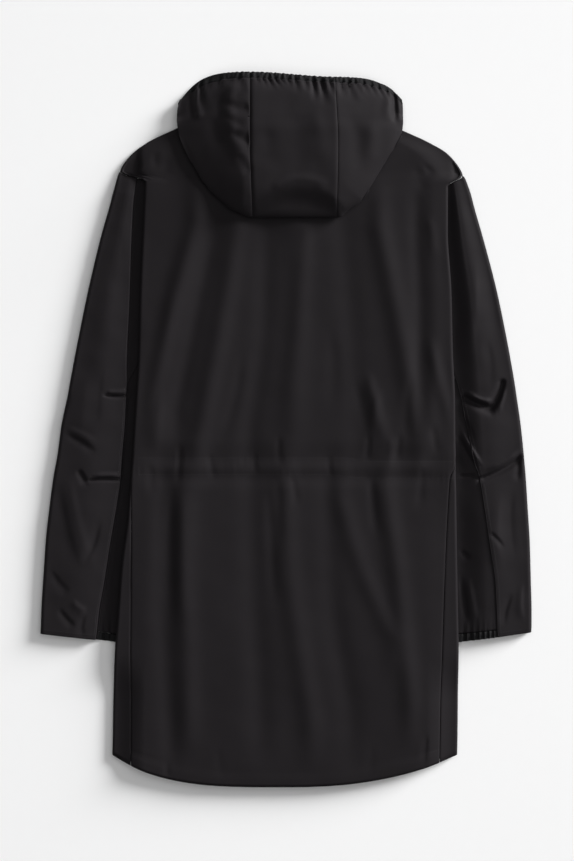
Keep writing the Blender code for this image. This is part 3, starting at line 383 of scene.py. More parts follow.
def crease_relief(creases, x, y, steep=1.0):
    """Height of a table of creases over the plain cloth, with a steeper far side where steep is
    below 1.
    """
    height = np.zeros(np.shape(x))
    t = np.linspace(0, 1, CREASE_STEPS + 1)
    for c in creases:
        px, py = ((1 - t) ** 2 * a + 2 * t * (1 - t) * (2 * b - (a + d) / 2) + t * t * d
                  for a, b, d in ((c.x1, c.x2, c.x3), (c.y1, c.y2, c.y3)))
        reach = 3 * c.width
        near = ((x > px.min() - reach) & (x < px.max() + reach)
                & (y > py.min() - reach) & (y < py.max() + reach))
        if not near.any():
            continue
        qx, qy = x[near], y[near]
        best = np.full(qx.shape, 1e9)
        where = far = np.zeros(qx.shape)
        for i in range(CREASE_STEPS):
            x1, y1, x2, y2 = px[i], py[i], px[i + 1], py[i + 1]
            distance, share = to_segment(qx, qy, x1, y1, x2, y2)
            closer = distance < best
            best = np.where(closer, distance, best)
            where = np.where(closer, (i + share) / CREASE_STEPS, where)
            far = np.where(closer, (x2 - x1) * (qy - y1) - (y2 - y1) * (qx - x1), far)
        fade = soft(where * 3 * c.keen) * soft((1 - where) * 3 * c.keen)
        width = c.width * (0.75 + 0.5 * where) * np.where(far > 0, steep, 1.0)
        height[near] += c.height * fade * bell(best, width)
    return height


# ---------------------------------------------------------------- body
class Side:
    """One half of the jacket, where x is measured outwards from x = 0."""

    def __init__(self, sign, word, hem_bow, neck_side):
        self.sign = sign
        self.word = word
        self.hem_bow = hem_bow          # power of the hem's curve
        self.neck_side = neck_side      # where the neck seam ends
        self.row_y = column(BODY, "y_" + word)
        self.row_fold = column(BODY, "fold_" + word)
        self.row_seam = column(BODY, "seam_" + word)
        self.fold = column(BODY, "fold_" + word, "y_" + word)
        self.tuck = column(SLEEVES, "tuck", "y_in_" + word)
        self.cuff_y = getattr(SLEEVES[-1], "y_in_" + word)


LEFT = Side(-1, "left", 3.5, 110.0)
RIGHT = Side(1, "right", 2.4, 122.0)
BACK_RISE = column(BODY, "rise", "y_mid")
MID_Y = column(BODY, "y_mid")


def both(x, read):
    """Reads the left half where x is below 0, and the right half elsewhere."""
    return np.where(x < 0, read(LEFT), read(RIGHT))


def centre_front(y):
    return CENTRE_TOP * (y - BODY[-1].y_mid) / (CHIN_Y - BODY[-1].y_mid)


def drape(x, y):
    """Height of the drape folds over the plain back."""
    height = np.zeros(np.shape(x))
    for fold in FOLDS:
        path = curve([fold.y1, fold.y2, fold.y3], [fold.x1, fold.x2, fold.x3])
        span = soft((fold.y1 + FOLD_FADE - y) / FOLD_FADE)
        span = span * soft((y - fold.y3 + FOLD_FADE) / FOLD_FADE)
        height = height + fold.height * span * bell(x - path(y), fold.width)
    return height * FOLD_SHARE


LIFT_START = 14         # length over which the body comes up on the sleeve at the notch
LIFT_END = 75           # from the cuff's end to where it is down again
LIFT_FADE = 60
ZIP_REACH = 24          # half width of the raised strip along the zip, with its slope
ZIP_SLOPE = 16
RAMP_TOP = 250          # y where the fronts' slope starts, and the length of its start
RAMP_START = 142


def lift(side, y):
    """Height of the body's underside at its edge, from the notch to below the cuff."""
    top = soft((BODY[NOTCH_ROW].y_left - y) / LIFT_START)
    return LIFT * top * soft((y - side.cuff_y + LIFT_END) / LIFT_FADE)


def zip_rise(x, y):
    return ZIP_RISE * soft((ZIP_REACH - np.abs(x - centre_front(y))) / ZIP_SLOPE)


def under(x, y):
    """Outer face of the front panels."""
    def slope(side):
        foot = side.fold(y) - side.tuck(y) - RAMP - RAMP_CLEAR
        return lift(side, y) * soft((np.abs(x) - foot) / RAMP)
    return both(x, slope) * soft((RAMP_TOP - y) / RAMP_START) + zip_rise(x, y)


EDGE_SLOPE = 42         # width over which the back comes down to its rounded edges


def over(x, y):
    """Outer face of the back, as far as its rounded edges."""
    plain = BACK_RISE(y) + drape(x, y)

    def rounded(side):
        inwards = side.fold(y) - FOLD_RADIUS - np.abs(x)
        return mix(lift(side, y) + 2 * FOLD_RADIUS, plain, soft(inwards / EDGE_SLOPE))
    return both(x, rounded)


def inside(x, y, start, width):
    """0 at the body's folded edges and 1 further in."""
    return both(x, lambda side: soft((side.fold(y) - np.abs(x) - start) / width))


HEM_STITCH = 19.0       # from the hem to its row of stitching
WAIST_UP = -38.9        # the rows of stitching at the waist, which step down to the right
WAIST_LOW = -62.0
STITCH_WIDTH = 1.9
PUCKER_PITCH = 7.4
PUCKER_UP = 9           # how far the puckers reach above and below the two rows
PUCKER_DOWN = 11


def waist_up(x):
    return WAIST_UP - 5.2 * soft((x - 80) / 40)


def waist_low(x):
    return WAIST_LOW - 5.0 * soft((x - 55) / 60)


def waist_relief(x, y):
    """The drawn-in waist: two stitched rows with puckers between and beside them."""
    high = waist_up(x)
    low = waist_low(x)
    rows = bell(y - high, STITCH_WIDTH) + bell(y - low, STITCH_WIDTH)
    between = soft((y - low + 2) / 5) * soft((high + 2 - y) / 5)
    beside = (np.exp(-np.clip(y - high, 0, None) / PUCKER_UP)
              * np.exp(-np.clip(low - y, 0, None) / PUCKER_DOWN))
    strength = 0.45 + 0.55 * uneven(x, 0 * y, 70, 0.6)
    drift = 1.6 * uneven(x, y, 38, 2.0)
    fine = np.sin(2 * math.pi * (x + drift * 2.4) / PUCKER_PITCH)
    fine = fine * (0.5 + 0.9 * uneven(x, y, 19, 4.1))
    broad = uneven(1.7 * x, 0.5 * y, 21, 1.2)
    pucker = (0.55 * fine + 0.45 * broad) * strength
    return -0.16 * rows + 0.8 * pucker * (0.6 * beside + 0.4 * between)


def hem_y(x):
    """The back's hem."""
    def at(side):
        share = np.minimum(np.abs(x) / side.row_fold(HEM_ROW), 1.0)
        return mix(BODY[-1].y_left, BODY[-1].y_mid, 1 - share ** side.hem_bow)
    return both(x, at)


ARMHOLE_LEFT = -202     # x where the cloth steps down outside the armholes, and how far
ARMHOLE_RIGHT = 231
STEP_LEFT = 6.5
STEP_RIGHT = 2.4
STEP_FLOOR = 4.0        # and the height it keeps over the surface


def armhole_step(x, y):
    step = STEP_LEFT * soft((ARMHOLE_LEFT - x) / 4) + STEP_RIGHT * soft((x - ARMHOLE_RIGHT) / 4)
    room = np.clip(over(x, y) - STEP_FLOOR, 0, None)
    step = np.minimum(step, room) * soft((404 - y) / 12) * soft((y - 300) / 20)
    return step * inside(x, y, 1, 4)


def back_relief(x, y):
    """Everything that lies on the back over its folds: creases, waist, hem and swells."""
    from_hem = y - hem_y(x)
    hem = 0.5 * soft((HEM_STITCH - from_hem) / 3) - 0.6 * bell(from_hem - HEM_STITCH, 1.7)
    swell = 0.55 * uneven(x, y, 95, 0.3) + 0.22 * uneven(x, y, 33, 1.9)
    laid = crease_relief(BACK_CREASES, x, y) + waist_relief(x, y) + swell
    return inside(x, y, 2, 10) * laid + hem - armhole_step(x, y)


def back_top(x, y):
    return over(x, y) + back_relief(x, y)


def row_height(side, row, share):
    bow = np.where(row < FOLD_ROW, NECK_BOW, side.hem_bow)
    return mix(side.row_y(row), MID_Y(row), 1 - share ** bow)


def body_point(side, row, way, detail):
    """Points of the body at rows, ways round from the folded edge, plus on top."""
    edge = side.row_fold(row)
    angle = np.clip(way, -QUARTER, QUARTER) / FOLD_RADIUS
    x = edge - FOLD_RADIUS * (1 - np.cos(angle)) - np.clip(np.abs(way) - QUARTER, 0, None)
    z_edge = lift(side, side.row_y(row)) + FOLD_RADIUS * (1 + np.sin(angle))
    x = side.sign * x
    y = row_height(side, row, np.minimum(np.abs(x) / edge, 1.0))
    top = over(x, y) + (back_relief(x, y) if detail else 0.0)
    low = np.where(row < UNDERARM_ROW, lift(side, y), under(x, y))
    z = np.where(np.abs(way) <= QUARTER, z_edge, np.where(way > 0, top, low))
    return stacked(x, y, z)


CROWD = 0.6             # distance between points that crowd at a seam
BEYOND = 200            # a way round that lies past every seam


def seam_steps(count):
    """Distances from a seam."""
    return np.array([0.0] + [CROWD * (k + 1) for k in range(count - 1)])[None, :]


def back_grid():
    rows = spaced(BODY, "y_left", 3.6)[:, None]
    ways = np.concatenate([[-BEYOND] * 8, np.linspace(-42, -QUARTER - 2, 8),
                           np.linspace(-QUARTER, QUARTER, 9), np.linspace(QUARTER + 2, 34, 8)])
    crowd = seam_steps(ways.size)

    def flank(side):
        start = side.row_seam(rows) + SIDE_GAP / 2
        return body_point(side, rows, np.maximum(ways[None, :], start + crowd), True)
    left = flank(LEFT)
    right = flank(RIGHT)
    share = np.linspace(0, 1, 118)[None, 1:-1]
    x = mix(left[:, -1:, 0], right[:, -1:, 0], share)
    y = both(x, lambda side: row_height(side, rows, np.abs(x) / side.row_fold(rows)))
    return joined(left, stacked(x, y, back_top(x, y)), right[:, ::-1])


def neck_line(x, back):
    """The neck seam, which is lower at the front."""
    low, bow = (MID_Y(0), NECK_BOW) if back else (FRONT_NECK_Y, FRONT_NECK_BOW)

    def at(side):
        share = np.minimum(np.abs(x) / side.neck_side, 1.0)
        return mix(side.row_y(0), low, 1 - share ** bow)
    return both(x, at)


def front_y(side, row, share):
    y = row_height(side, row, share)
    x = side.sign * share * side.row_fold(row)
    drop = (neck_line(x, True) - neck_line(x, False)) * unit(1 - row / FOLD_ROW)
    straight = FRONT_HEM_DROP * (1 - share ** 2) * soft((row - WAIST_ROW) / 8)
    return y - drop + straight


def front_grid(side):
    rows = spaced(BODY, "y_left", 7.0)[:, None]
    edge = side.row_fold(rows)
    tuck = side.tuck(side.row_y(rows))
    seam = side.row_seam(rows) - SIDE_GAP / 2
    ways = np.concatenate([[BEYOND] * 6, np.linspace(26, QUARTER + 1, 8),
                           np.linspace(QUARTER, -QUARTER, 9)])
    slope = [tuck + RAMP_CLEAR + RAMP * s for s in (0.15, 0.3, 0.5, 0.7, 0.85, 1.05)]
    bends = joined(tuck / 2, tuck + RAMP_CLEAR, *slope)
    ways = joined(np.broadcast_to(ways, (rows.size, ways.size)), FOLD_RADIUS - QUARTER - bends)
    crowd = seam_steps(ways.shape[1])
    way = np.minimum(ways, seam - crowd)

    def flat(x):
        y = front_y(side, rows, np.minimum(np.abs(x) / edge, 1.0))
        return stacked(x, y, under(x, y))
    point = body_point(side, rows, way, False)
    point = np.where((way < -QUARTER)[..., None], flat(point[..., 0]), point)
    # Along the armhole the front lies flat and ends at its own seam.
    held = flat(side.sign * (edge - tuck - SEAM_GAP - crowd))
    beside_arm = soft((rows - NOTCH_ROW + 0.25) / 0.25) * (rows < UNDERARM_ROW)
    point = mix(point, held, beside_arm[..., None])
    columns = [point]
    y = point[:, -1:, 1]
    for share in np.linspace(0, 1, 30)[1:]:
        opening = centre_front(y) + side.sign * ZIP_EDGE
        columns.append(flat(mix(point[:, -1:, 0], opening, share)))
        y = columns[-1][..., 1]
    return joined(*columns)


# ---------------------------------------------------------------- sleeves
CREASE_FLOOR = 2.3      # creases stop where the two layers of the sleeve meet
SLEEVE_CLEAR = 1.0      # the sleeve starts to rise this far out from the body's edge
VALLEY_DIP = 2.9        # how far it sinks beside the body, before it stands up
CUFF_STITCH = 15.75     # row of stitching near the end of the cuff
CUFF_LENGTH = 11        # from the cuff's seam to its end
GATHER_PITCH = 7.6


class Arm:
    """One sleeve, with x measured outwards from x = 0."""

    def __init__(self, side, creases, valley, upright, flattened):
        self.side = side
        self.creases = creases
        self.valley = curve(range(len(valley)), valley)
        self.upright = upright          # share of a steep wall beside the body
        self.flattened = flattened      # how much of the crest is laid down
        self.crest = column(SLEEVES, "crest")
        self.tuck = column(SLEEVES, "tuck")
        for name in ("y_in", "y_out", "outer", "seam"):
            setattr(self, name, column(SLEEVES, name + "_" + side.word))
        rows = np.linspace(FOLD_ROW, NOTCH_ROW, 60)
        self.rim = side.row_fold(rows), side.row_y(rows) - SEAM_GAP

    def edge(self, row):
        return self.side.fold(self.y_in(row))

    def inner(self, row):
        return self.edge(row) - self.tuck(row)

    def low_seam(self, row):
        edge = self.edge(row)
        return edge + FRONT_SEAM * (self.outer(row) - edge)

    def radius(self, row):
        return np.minimum(CUFF_RADIUS, self.crest(row) / 2 - 0.6)

    def round_start(self, row):
        return self.outer(row) - self.radius(row)

    def border(self, row):
        """Where the sleeve stands up beside the body, at its visible seam or past it."""
        return np.maximum(self.seam(row) + 1.6, self.edge(row) + self.valley(row))

    def place(self, row, x, z, seen):
        """Turns points of a section into places on the row's slanted line."""
        edge = self.edge(row)
        share = unit((x - edge) / (self.outer(row) - edge))
        y = mix(self.y_in(row), self.y_out(row), share)
        y = mix(y, np.interp(x, *self.rim), unit(1 - row) ** 2)
        x = self.side.sign * x
        creased = z + seen * self.relief(row, x, y)
        return stacked(x, y, np.maximum(creased, np.minimum(z, CREASE_FLOOR)))

    def relief(self, row, x, y):
        """Creases, small swells and the cuff's turned hem. Nothing lies under the body."""
        free = soft((np.abs(x) - self.edge(row) - 1) / 9)
        swell = 0.7 * uneven(x, y, 60, 0.9 * self.side.sign) + 0.3 * uneven(x, y, 24, 2.2)
        hem = -0.5 * bell((row - CUFF_STITCH) * CUFF_LENGTH, 1.6)
        return free * (1.15 * crease_relief(self.creases, x, y, 0.5) + swell + hem)

    def top(self, row, x):
        """Height of the upper face: low beside the body, then up to the crest."""
        edge = self.edge(row) + SLEEVE_CLEAR
        end = 2 * self.radius(row)
        crest = mix(self.crest(row), end + 2.0, self.flattened)
        share = (x - edge) / np.maximum(self.round_start(row) - edge, 1.0)
        wall = soft(x - self.border(row) + 0.5)
        rise = mix(soft(share / 0.42), wall * mix(0.5, 1.0, soft(share / 0.7)), self.upright)
        dip = VALLEY_DIP * self.upright * unit((x - edge) / 12) * (1 - wall)
        return (LAID_SLEEVE - dip + (crest - LAID_SLEEVE) * rise
                - (crest - end) * soft((share - 0.5) / 0.5))

    def upper(self, row, x, wave=0.0):
        """Points of the upper face."""
        return self.place(row, x, self.top(row, x) + wave, 1.0)

    def rows(self, start, end, step):
        return rows_between(SLEEVES, "y_in_" + self.side.word, start, end, step)


# How far out the left sleeve stands up beside the body, row by row.
LEFT_VALLEY = (11, 14, 15.5, 15.5, 14.5, 16.5, 14, 12, 10)
ARM_LEFT = Arm(LEFT, LEFT_SLEEVE_CREASES, LEFT_VALLEY, 1.0, 0.85)
ARM_RIGHT = Arm(RIGHT, RIGHT_SLEEVE_CREASES, (4, 4), 0.0, 0.55)


def across(start, end, count):
    """Places from start to end, close together at the start beside a seam."""
    first = np.array([0.0, 0.5, 1.1, 1.9, 3.0])
    near = start + np.sign(end - start) * np.minimum(first, np.abs(end - start) * first / 12)
    return joined(near, mix(near[:, -1:], end, shares(count, 1)))


def section(arm, rows, top, x_low, centre, radius, angle, seen):
    """Joins a section's upper face, its turned edge and its underside."""
    turn = arm.place(rows, centre + radius * np.cos(angle), radius * (1 + np.sin(angle)), seen)
    return joined(top, turn, arm.place(rows, x_low, 0 * x_low, 0.0))


def upper_section(arm, rows, cap):
    """Upper sleeve: over the top, round the outer edge and back along the underside."""
    start = arm.seam(rows) + SEAM_GAP / 2
    end = arm.low_seam(rows) + SEAM_GAP / 2
    round_start = arm.round_start(rows)
    border = arm.border(rows)
    steps = np.array([[-0.5, -0.22, 0.0, 0.22, 0.5, 1.4]])
    x_top = joined(mix(start, border - 1.5, np.array([[0.0, 0.08, 0.2, 0.45, 0.72, 0.9]])),
                   border + steps, mix(border + 3.2, round_start, shares(42)))
    x_low = across(end, round_start, 14)[:, ::-1][:, 1:]
    if cap:
        inner = arm.inner(rows)
        x_top = joined(mix(inner, start, shares(10)[:, :-1]), x_top)
        x_low = joined(x_low, mix(end, inner, shares(8, 1)))
    angle = math.pi * (0.5 - shares(12, 1))
    return section(arm, rows, arm.upper(rows, x_top), x_low, round_start, arm.radius(rows),
                   angle, unit(np.sin(angle)))


def sleeve_upper(arm):
    return [upper_section(arm, arm.rows(0, UNDER_ROW, 3.0), True),
            upper_section(arm, arm.rows(UNDER_ROW, CUFF_END, 2.3), False)]


def under_section(arm, rows, count, waves):
    """Under sleeve: from the visible seam inwards, round and back to the front seam."""
    start = arm.seam(rows) - SEAM_GAP / 2
    end = arm.low_seam(rows) - SEAM_GAP / 2
    radius = LAID_SLEEVE / 2
    middle = arm.inner(rows) + radius
    angle = math.pi * (0.5 + shares(10, 1))
    x_top = across(start, middle, count)
    seen = soft((x_top - arm.edge(rows)) / 10) * soft((arm.seam(rows) - x_top) / 8)
    return section(arm, rows, arm.upper(rows, x_top, waves(rows, x_top) * seen),
                   across(end, middle, 14)[:, ::-1][:, 1:], middle, radius, angle, 0.0)


def gather_wave(x):
    return np.sin(2 * math.pi * (x + 1.4 * np.sin(x / 9)) / GATHER_PITCH)


def draw_in(rows, x):
    """Gathers that run up the under sleeve from its elastic cuff."""
    return 0.9 * gather_wave(x) * soft((rows - 13.6) / 1.4) ** 2


def ruffle(rows, x):
    small = np.sin(2 * math.pi * x / 3.4 + 1.0)
    return (1.1 * gather_wave(x) + 0.25 * small) * (0.8 + 0.3 * (rows - CUFF_ROW))


def sleeve_under(arm):
    return [under_section(arm, arm.rows(UNDER_ROW + 0.008, CUFF_ROW, 2.4), 26, draw_in)]


def cuff_band(arm):
    """The gathered elastic hem of the under sleeve."""
    rows = np.linspace(CUFF_ROW + SEAM_GAP / CUFF_LENGTH, CUFF_END, 8)[:, None]
    return [under_section(arm, rows, 70, ruffle)]


# ---------------------------------------------------------------- hood
HOOD_AT = {name: column(HOOD, name) for name in Hood._fields[1:]}
OUTLINE = ([(row.left, row.y_edge) for row in HOOD]
           + [(row.right, row.y_edge) for row in HOOD[::-1]])
SPREAD = 1.7            # power that crowds the columns towards the seams
HOOD_SIDE = 42.0        # how far in the upper face rounds off at the sides
HOOD_SLOPE_Y = 464.0    # where it starts to, down from the opening
HOOD_SLOPE_LENGTH = 50
OUTLINE_SHARE = 0.22    # height of the outline between the hood's two faces
LEAN_LEFT = 22.0
LEAN_RIGHT = 15.0
LEAN_START = 9.0        # from the left seam to where its panel starts to lean
BEND_Y = 318.0          # where the middle panel bends down to its fold, and how far
BEND_DEPTH = 9.0
BEND_BOW = 22
GATHER_START = 6        # from the opening's edge
GATHER_DEPTH = 1.8      # times the depth in the table


def from_outline(x, y):
    """Distance inwards from the hood's outline."""
    pairs = zip(OUTLINE, OUTLINE[1:])
    return np.min([to_segment(x, y, *start, *end)[0] for start, end in pairs], axis=0)


def puff(x, y, radius):
    """Share of the way from the outline to the hood's full height."""
    near = 1 - np.minimum(from_outline(x, y) / radius, 1.0)
    return np.sqrt(np.clip(1 - near * near, 0, None))


def hood_fall(x, y):
    """How far the side panels lean down from their seams, and the centre at its fold."""
    first = HOOD[0]
    start = first.seam_left - LEAN_START
    left = unit((start - x) / (start - first.left))
    right = unit((x - first.seam_right) / (first.right - first.seam_right))
    bend = BEND_Y + BEND_BOW * (1 - ((x - 14) / 62) ** 2)
    return LEAN_LEFT * left + LEAN_RIGHT * right + BEND_DEPTH * soft((bend - y) / 30)


def row_y(row, share):
    edge = HOOD_AT["y_edge"](row)
    return mix(edge, HOOD_AT["y_seam"](row), 1 - (1 - share) ** CORNER_BOW)


def droop(row, share):
    return RIGHT_DROP * soft(share) * soft(1 - row / NECK_ROW)


def opening_y(x):
    """Edge of the hood's opening."""
    first = HOOD[0]
    left = (x - first.left) / (first.seam_left - first.left)
    right = (first.right - x) / (first.right - first.seam_right)
    share = unit(np.minimum(left, right))
    slant = (x - first.seam_left) / (first.seam_right - first.seam_left)
    return row_y(0, share) - droop(0, slant) * np.minimum(share * 3, 1.0)


def hood_relief(x, y):
    """Gathers under the elastic, creases and swells of the hood's upper face."""
    height = crease_relief(HOOD_CREASES, x, y)
    down = opening_y(x) - GATHER_START - y
    for g in GATHERS:
        along = unit(down / g.length)
        depth = GATHER_DEPTH * g.depth * (1 - soft(along)) * soft((down + GATHER_START) / 5)
        width = g.width * (0.65 + 0.85 * along)
        out = x - g.x - g.lean * along
        height = height - depth * bell(out, width) + 0.35 * depth * bell(out - 2.2 * width, width)
    return height + 0.9 * uneven(x, y, 70, 1.1) + 0.35 * uneven(x, y, 27, 3.0)


def hood_floor(x, y, row, back):
    """Height that the hood's lower face rests at: on the back, or past the neck."""
    seat = BODY[0].rise + HOOD_SEAT + 0.6
    flat = zip_rise(x, y)
    at_neck = seat
    if not back:
        inwards = (both(x, lambda side: side.neck_side + 0 * x) - np.abs(x)) / NECK_STEP
        at_neck = seat * (1 - soft(inwards)) + flat
    before = mix(flat, at_neck, unit(row - NECK_ROW + 1))
    on_back = over(x, np.minimum(y, BODY[1].y_mid)) + HOOD_SEAT
    return np.where(row <= NECK_ROW, before, mix(at_neck, on_back, unit(row - NECK_ROW)))


def hood_point(x, y, row, upper, back):
    top = HOOD_AT["rise"](row)
    floor = hood_floor(x, y, row, back)
    low = soft((HOOD_SLOPE_Y - y) / HOOD_SLOPE_LENGTH)      # 0 at the opening
    outline = mix(floor, top, mix(0.5, OUTLINE_SHARE, low))
    if not upper:
        return stacked(x, y, mix(outline, floor, puff(x, y, HOOD_RADIUS)))
    radius = HOOD_RADIUS + (HOOD_SIDE - HOOD_RADIUS) * low
    z = mix(outline, top - hood_fall(x, y), puff(x, y, radius))
    return stacked(x, y, z + hood_relief(x, y) * soft(from_outline(x, y) / 9))


def hood_seam(side, row):
    return HOOD_AT["seam_" + side.word](row) + side.sign * SEAM_GAP / 2


def side_upper(side, row):
    """A side panel's upper face, close together at its outline and its seam."""
    share = np.concatenate([[1, 0.992, 0.982, 0.97], np.linspace(1, 0, 34)[1:] ** SPREAD])
    share = share[None, :]
    x = mix(HOOD_AT[side.word](row), hood_seam(side, row), share)
    y = row_y(row, share)
    if side is RIGHT:
        y = y - droop(row, 1.0) * np.minimum(share * 3, 1.0)
    return hood_point(x, y, row, True, True)


def side_lower(side, row, back):
    """A side panel's lower face, from the outline to its inner edge."""
    seam = hood_seam(side, row)
    edge = HOOD_AT[side.word](row)
    neck = side.sign * side.neck_side
    end = seam if back else centre_front(HOOD_AT["y_edge"](row)) + side.sign * ZIP_EDGE
    near = neck - side.sign * NECK_STEP
    parts = (mix(edge, neck, shares(16, 1) ** SPREAD),
             mix(neck, near, shares(6, 1)), mix(near, end, shares(22, 1)))
    x = joined(*(np.broadcast_to(part, (row.shape[0], part.shape[1])) for part in parts))
    if back:
        plain = mix(edge, seam, shares(x.shape[1] + 1, 1) ** 1.3)
        x = mix(x, plain, soft((row - NECK_ROW) / 1.5))
    return hood_point(x, lower_y(side, row, x, back), row, False, back)


def lower_y(side, row, x, back):
    """Height along the jacket of the rows of the hood's lower face."""
    edge = HOOD_AT[side.word](row)
    neck = side.neck_side
    level = 1.0 if back else neck / (neck - NECK_STEP)
    outline = abs(getattr(HOOD[NECK_ROW], side.word))
    outwards = unit((np.abs(x) - neck) / (outline - neck))
    at_neck = mix(neck_line(x * level, back) + NECK_GAP, HOOD[NECK_ROW].y_edge, outwards)
    first = HOOD[0].y_edge
    inwards = soft(1 - np.abs(x) / np.abs(edge))
    start = mix(first, CHIN_Y, inwards) - (first - HOOD_AT["y_edge"](np.minimum(row, 1)))
    before = mix(start, at_neck, unit((row - 1) / (NECK_ROW - 1)))
    share = unit((x - edge) / (hood_seam(side, row) - edge + side.sign * -1e-6))
    after = mix(at_neck, row_y(row, share), soft(row - NECK_ROW))
    return np.where(row <= NECK_ROW, before, after)


def hood_rows(start, end, step):
    return rows_between(HOOD, "y_seam", start, end, step)


def side_section(side, row, back):
    return joined(side_upper(side, row), side_lower(side, row, back))


def hood_side(side):
    return [side_section(side, hood_rows(1, NECK_ROW, 3.0), False),
            side_section(side, hood_rows(NECK_ROW, FOLD_END, 2.8), True)]


BAND_LOW = 15.0         # the band is gathered where it is higher than this
BAND_STEP = 1.3
TUCK_DEPTH = 1.4        # how far the band and the seam allowances lie under the hood


def centre_rows(row, upper):
    """Rows of the middle panel, with a seam allowance at each side."""
    left = HOOD_AT["seam_left"](row) + SEAM_GAP / 2
    right = HOOD_AT["seam_right"](row) - SEAM_GAP / 2
    near = np.array([[-1.9, -0.2, 0, 0.5, 1.1, 1.9]])
    middle = mix(left + 3, right - 3, shares(44))
    x = joined(left + near, middle, (right - near)[:, ::-1])
    y = HOOD_AT["y_seam"](row) + 0 * x
    if not upper:
        y = mix(neck_line(x, True) + NECK_GAP, y, soft(row - NECK_ROW))
        return hood_point(x, y, row, False, True)
    y = y - droop(row, (x - left) / (right - left))
    points = hood_point(x, y, row, True, True)
    points[..., 2] -= 1.8 * bell(x - left, 2.4) + 0.6 * bell(right - x, 1.6)
    points[:, [0, 1, -2, -1], 2] -= TUCK_DEPTH
    return points


def hood_centre():
    upper = centre_rows(hood_rows(1, FOLD_END, 2.8), True)
    lower = centre_rows(hood_rows(NECK_ROW, FOLD_END, 2.8)[::-1], False)
    return [np.concatenate([upper, lower[1:]], axis=0)]


def opening_ring(row):
    """The line of a row all round the hood's opening, from the zip back to the zip."""
    row = np.array([[float(row)]])
    left, right = (side_section(side, row, False)[0] for side in (LEFT, RIGHT))
    return np.concatenate([left[::-1], centre_rows(row, True)[0], right])


def laid_lengths(grid, axis):
    """Distance along the cloth from the first row or column."""
    step = np.linalg.norm(np.diff(grid, axis=axis), axis=-1)
    total = np.cumsum(step, axis=axis)
    return np.concatenate([np.zeros_like(np.take(total, [0], axis=axis)), total], axis=axis)


def read_line(places, along, line):
    return np.stack([np.interp(places, along, line[:, k]) for k in range(3)], axis=1)


def resample(line, step):
    """Points a step apart along a line."""
    along = laid_lengths(line, 0)
    keep = np.concatenate([[True], np.diff(along) > 1e-6])
    along = along[keep]
    places = np.linspace(0, along[-1], max(int(along[-1] / step), 2))
    return read_line(places, along, line[keep])


def opening_band():
    """The gathered elastic round the opening, with its last row tucked under the hood."""
    outer = opening_ring(0)
    first = opening_ring(1)
    step = np.linalg.norm(np.diff(outer, axis=0), axis=1) + 1e-5
    along = np.concatenate([[0], np.cumsum(step)])
    place = np.arange(0, along[-1], BAND_STEP)
    outer, inner, tucked = (read_line(place, along, line) for line in (
        outer, mix(first, outer, 0.09), mix(first, opening_ring(1.6), 0.25)))
    wave = (0.55 * np.sin(2 * math.pi * (place + 2 * np.sin(place / 17)) / 6.3)
            + 0.35 * np.sin(2 * math.pi * place / 10.4 + 1))
    rows = []
    for share in np.linspace(0, 1, 7):
        row = mix(outer, inner, share)
        high = soft((row[:, 2] - BAND_LOW) / 6)
        row[:, 2] += high * (wave * (0.9 - 0.5 * share) + 0.5 * math.sin(math.pi * share))
        row[:, 1] += high * 0.5 * wave * (1 - share)
        rows.append(row)
    tucked[:, 2] -= TUCK_DEPTH * soft((tucked[:, 2] - BAND_LOW) / 6)
    return [np.array(rows + [tucked])]


# ---------------------------------------------------------------- zip
def zip_tape(side):
    """A tape behind the edge of a front, from the hem to the chin."""
    y = np.linspace(BODY[-1].y_mid + FRONT_HEM_DROP + 4, CHIN_Y - 8, 240)[:, None]
    out = np.array([[TAPE_SLOT, 1.4, 2.6, 4.5, 6.5, 8.5, 10.5, TAPE_SLOT + TAPE_WIDTH]])
    at = centre_front(y) + side.sign * np.maximum(out, ZIP_EDGE)
    return [stacked(centre_front(y) + side.sign * out, y, zip_rise(at, y) + TAPE_Z)]


# ---------------------------------------------------------------- meshes
LEAST_FILLED = 0.31     # least share of width times length that an area is given as


def put_in(name, data):
    made = bpy.data.objects.new(name, data)
    bpy.context.scene.collection.objects.link(made)
    return made


def cells(rows, columns, offset):
    """Faces of a grid of points that are numbered from the offset."""
    index = np.arange(rows * columns).reshape(rows, columns) + offset
    return np.stack([index[:-1, :-1], index[1:, :-1], index[1:, 1:], index[:-1, 1:]],
                    axis=-1).reshape(-1, 4)


def grooved(grid, u, v, sides, aim):
    """Turns the cloth in along its seams, so that each shows as a narrow groove."""
    if not sides:
        return grid
    normal = np.cross(np.gradient(grid, axis=0), np.gradient(grid, axis=1))
    size = np.linalg.norm(normal, axis=-1, keepdims=True)
    normal = normal / np.where(size > 1e-9, size, 1)
    centre = (grid[:-1, :-1] + grid[1:, 1:]) / 2
    probe = np.unravel_index(np.argmax(centre @ aim), centre.shape[:2])
    if normal[probe] @ aim < 0:
        normal = -normal
    from_seam = {"first": u, "last": u[:, -1:] - u, "top": v, "end": v[-1:] - v}
    depth = sum(SEAM_DEPTH * bell(from_seam[side], SEAM_REACH) for side in sides)
    return grid - normal * depth[..., None]


